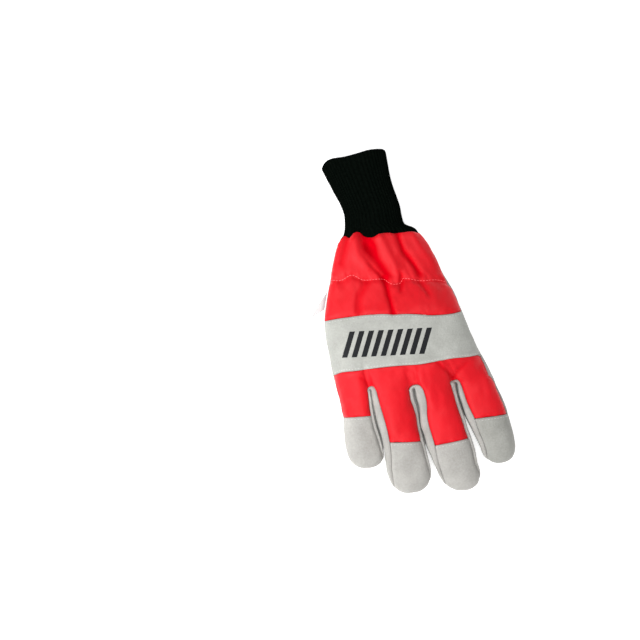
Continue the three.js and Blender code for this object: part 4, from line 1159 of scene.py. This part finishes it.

# Floor, light and camera
# The paper glows a little, as painted light that washes out the shadows round the glove, and the glow is left
# out in spots under the slits between touching fingers, as painted shade in the slits:
# middle, turn in degrees, half width and half length of each spot without glow
PAPER_GLOW = 0.5
SLIT_SHADE_SPOTS = (((-32.2, -24.0), -2, 5, 29), ((4.6, -26.0), -2, 5, 31), ((42.6, -20.0), -6, 5, 21))
paper = Finish("matt_white_paper_painted_glow", {
    "Roughness": 0.9, "Specular IOR Level": 0.1, "Emission Color": "#ffffff"})
glow = PAPER_GLOW
for spot, turn, half_wide, half_long in SLIT_SHADE_SPOTS:
    placed = paper.node("ShaderNodeMapping", {"Vector": paper.where, **plan_place(spot, turn),
                                              "Scale": (half_wide * MM, half_long * MM, 1)},
                        vector_type="TEXTURE")
    far = paper.node("ShaderNodeVectorMath", {0: placed.outputs["Vector"]}, operation="LENGTH")
    glows_here = paper.node("ShaderNodeMath", {0: far.outputs["Value"], 1: 1}, operation="GREATER_THAN")
    glow = paper.node("ShaderNodeMath", {0: glows_here.outputs[0], 1: glow}, operation="MULTIPLY").outputs[0]
# Emission strength: the painted glow, switched off in the painted slit shade spots
paper.set({"Base Color": paper.mottle(333.3, 1, (0.0, "#fafafa"), (1.0, "#fcfcfc")),
           "Emission Strength": glow})
bpy.ops.mesh.primitive_plane_add(size=40, location=(0, 0, 0))
floor = bpy.context.object
floor.name = "floor"
floor.data.materials.append(paper.material)

world = bpy.data.worlds.new("pale studio")
scene.world = world
world.use_nodes = True
background = world.node_tree.nodes["Background"]
background.inputs["Color"].default_value = srgb("#ffffff")
background.inputs["Strength"].default_value = 0.5


def lamp(name, spot, target, size, watts):
    data = bpy.data.lights.new(name, "AREA")
    data.shape = "DISK"
    data.size = size
    data.energy = watts
    obj = bpy.data.objects.new(name, data)
    obj.location = spot
    obj.rotation_euler = (Vector(target) - Vector(spot)).to_track_quat("-Z", "Y").to_euler()
    scene.collection.objects.link(obj)


lamp("soft_box_left", (-0.45, 0.02, 0.38), (0, -0.02, 0), 0.22, 2.0)
lamp("soft_box_front", (-0.35, -0.6, 0.55), (0.02, -0.1, 0), 0.4, 3.2)
lamp("soft_box_above", (-0.1, 0.3, 1.6), (0, 0, 0), 1.0, 10)

CAMERA_AT = Vector((-69.4, 16.8, 1324)) * MM
CAMERA_RIGHT = Vector((0.9816, -0.1908, 0))
camera_data = bpy.data.cameras.new("camera")
camera_data.lens = 85
camera_data.sensor_width = 36
camera_data.clip_start = 0.05
camera = bpy.data.objects.new("camera", camera_data)
camera.location = CAMERA_AT
camera.rotation_euler = (0, 0, math.atan2(CAMERA_RIGHT.y, CAMERA_RIGHT.x))
scene.collection.objects.link(camera)
scene.camera = camera
scene.view_settings.view_transform = "Standard"
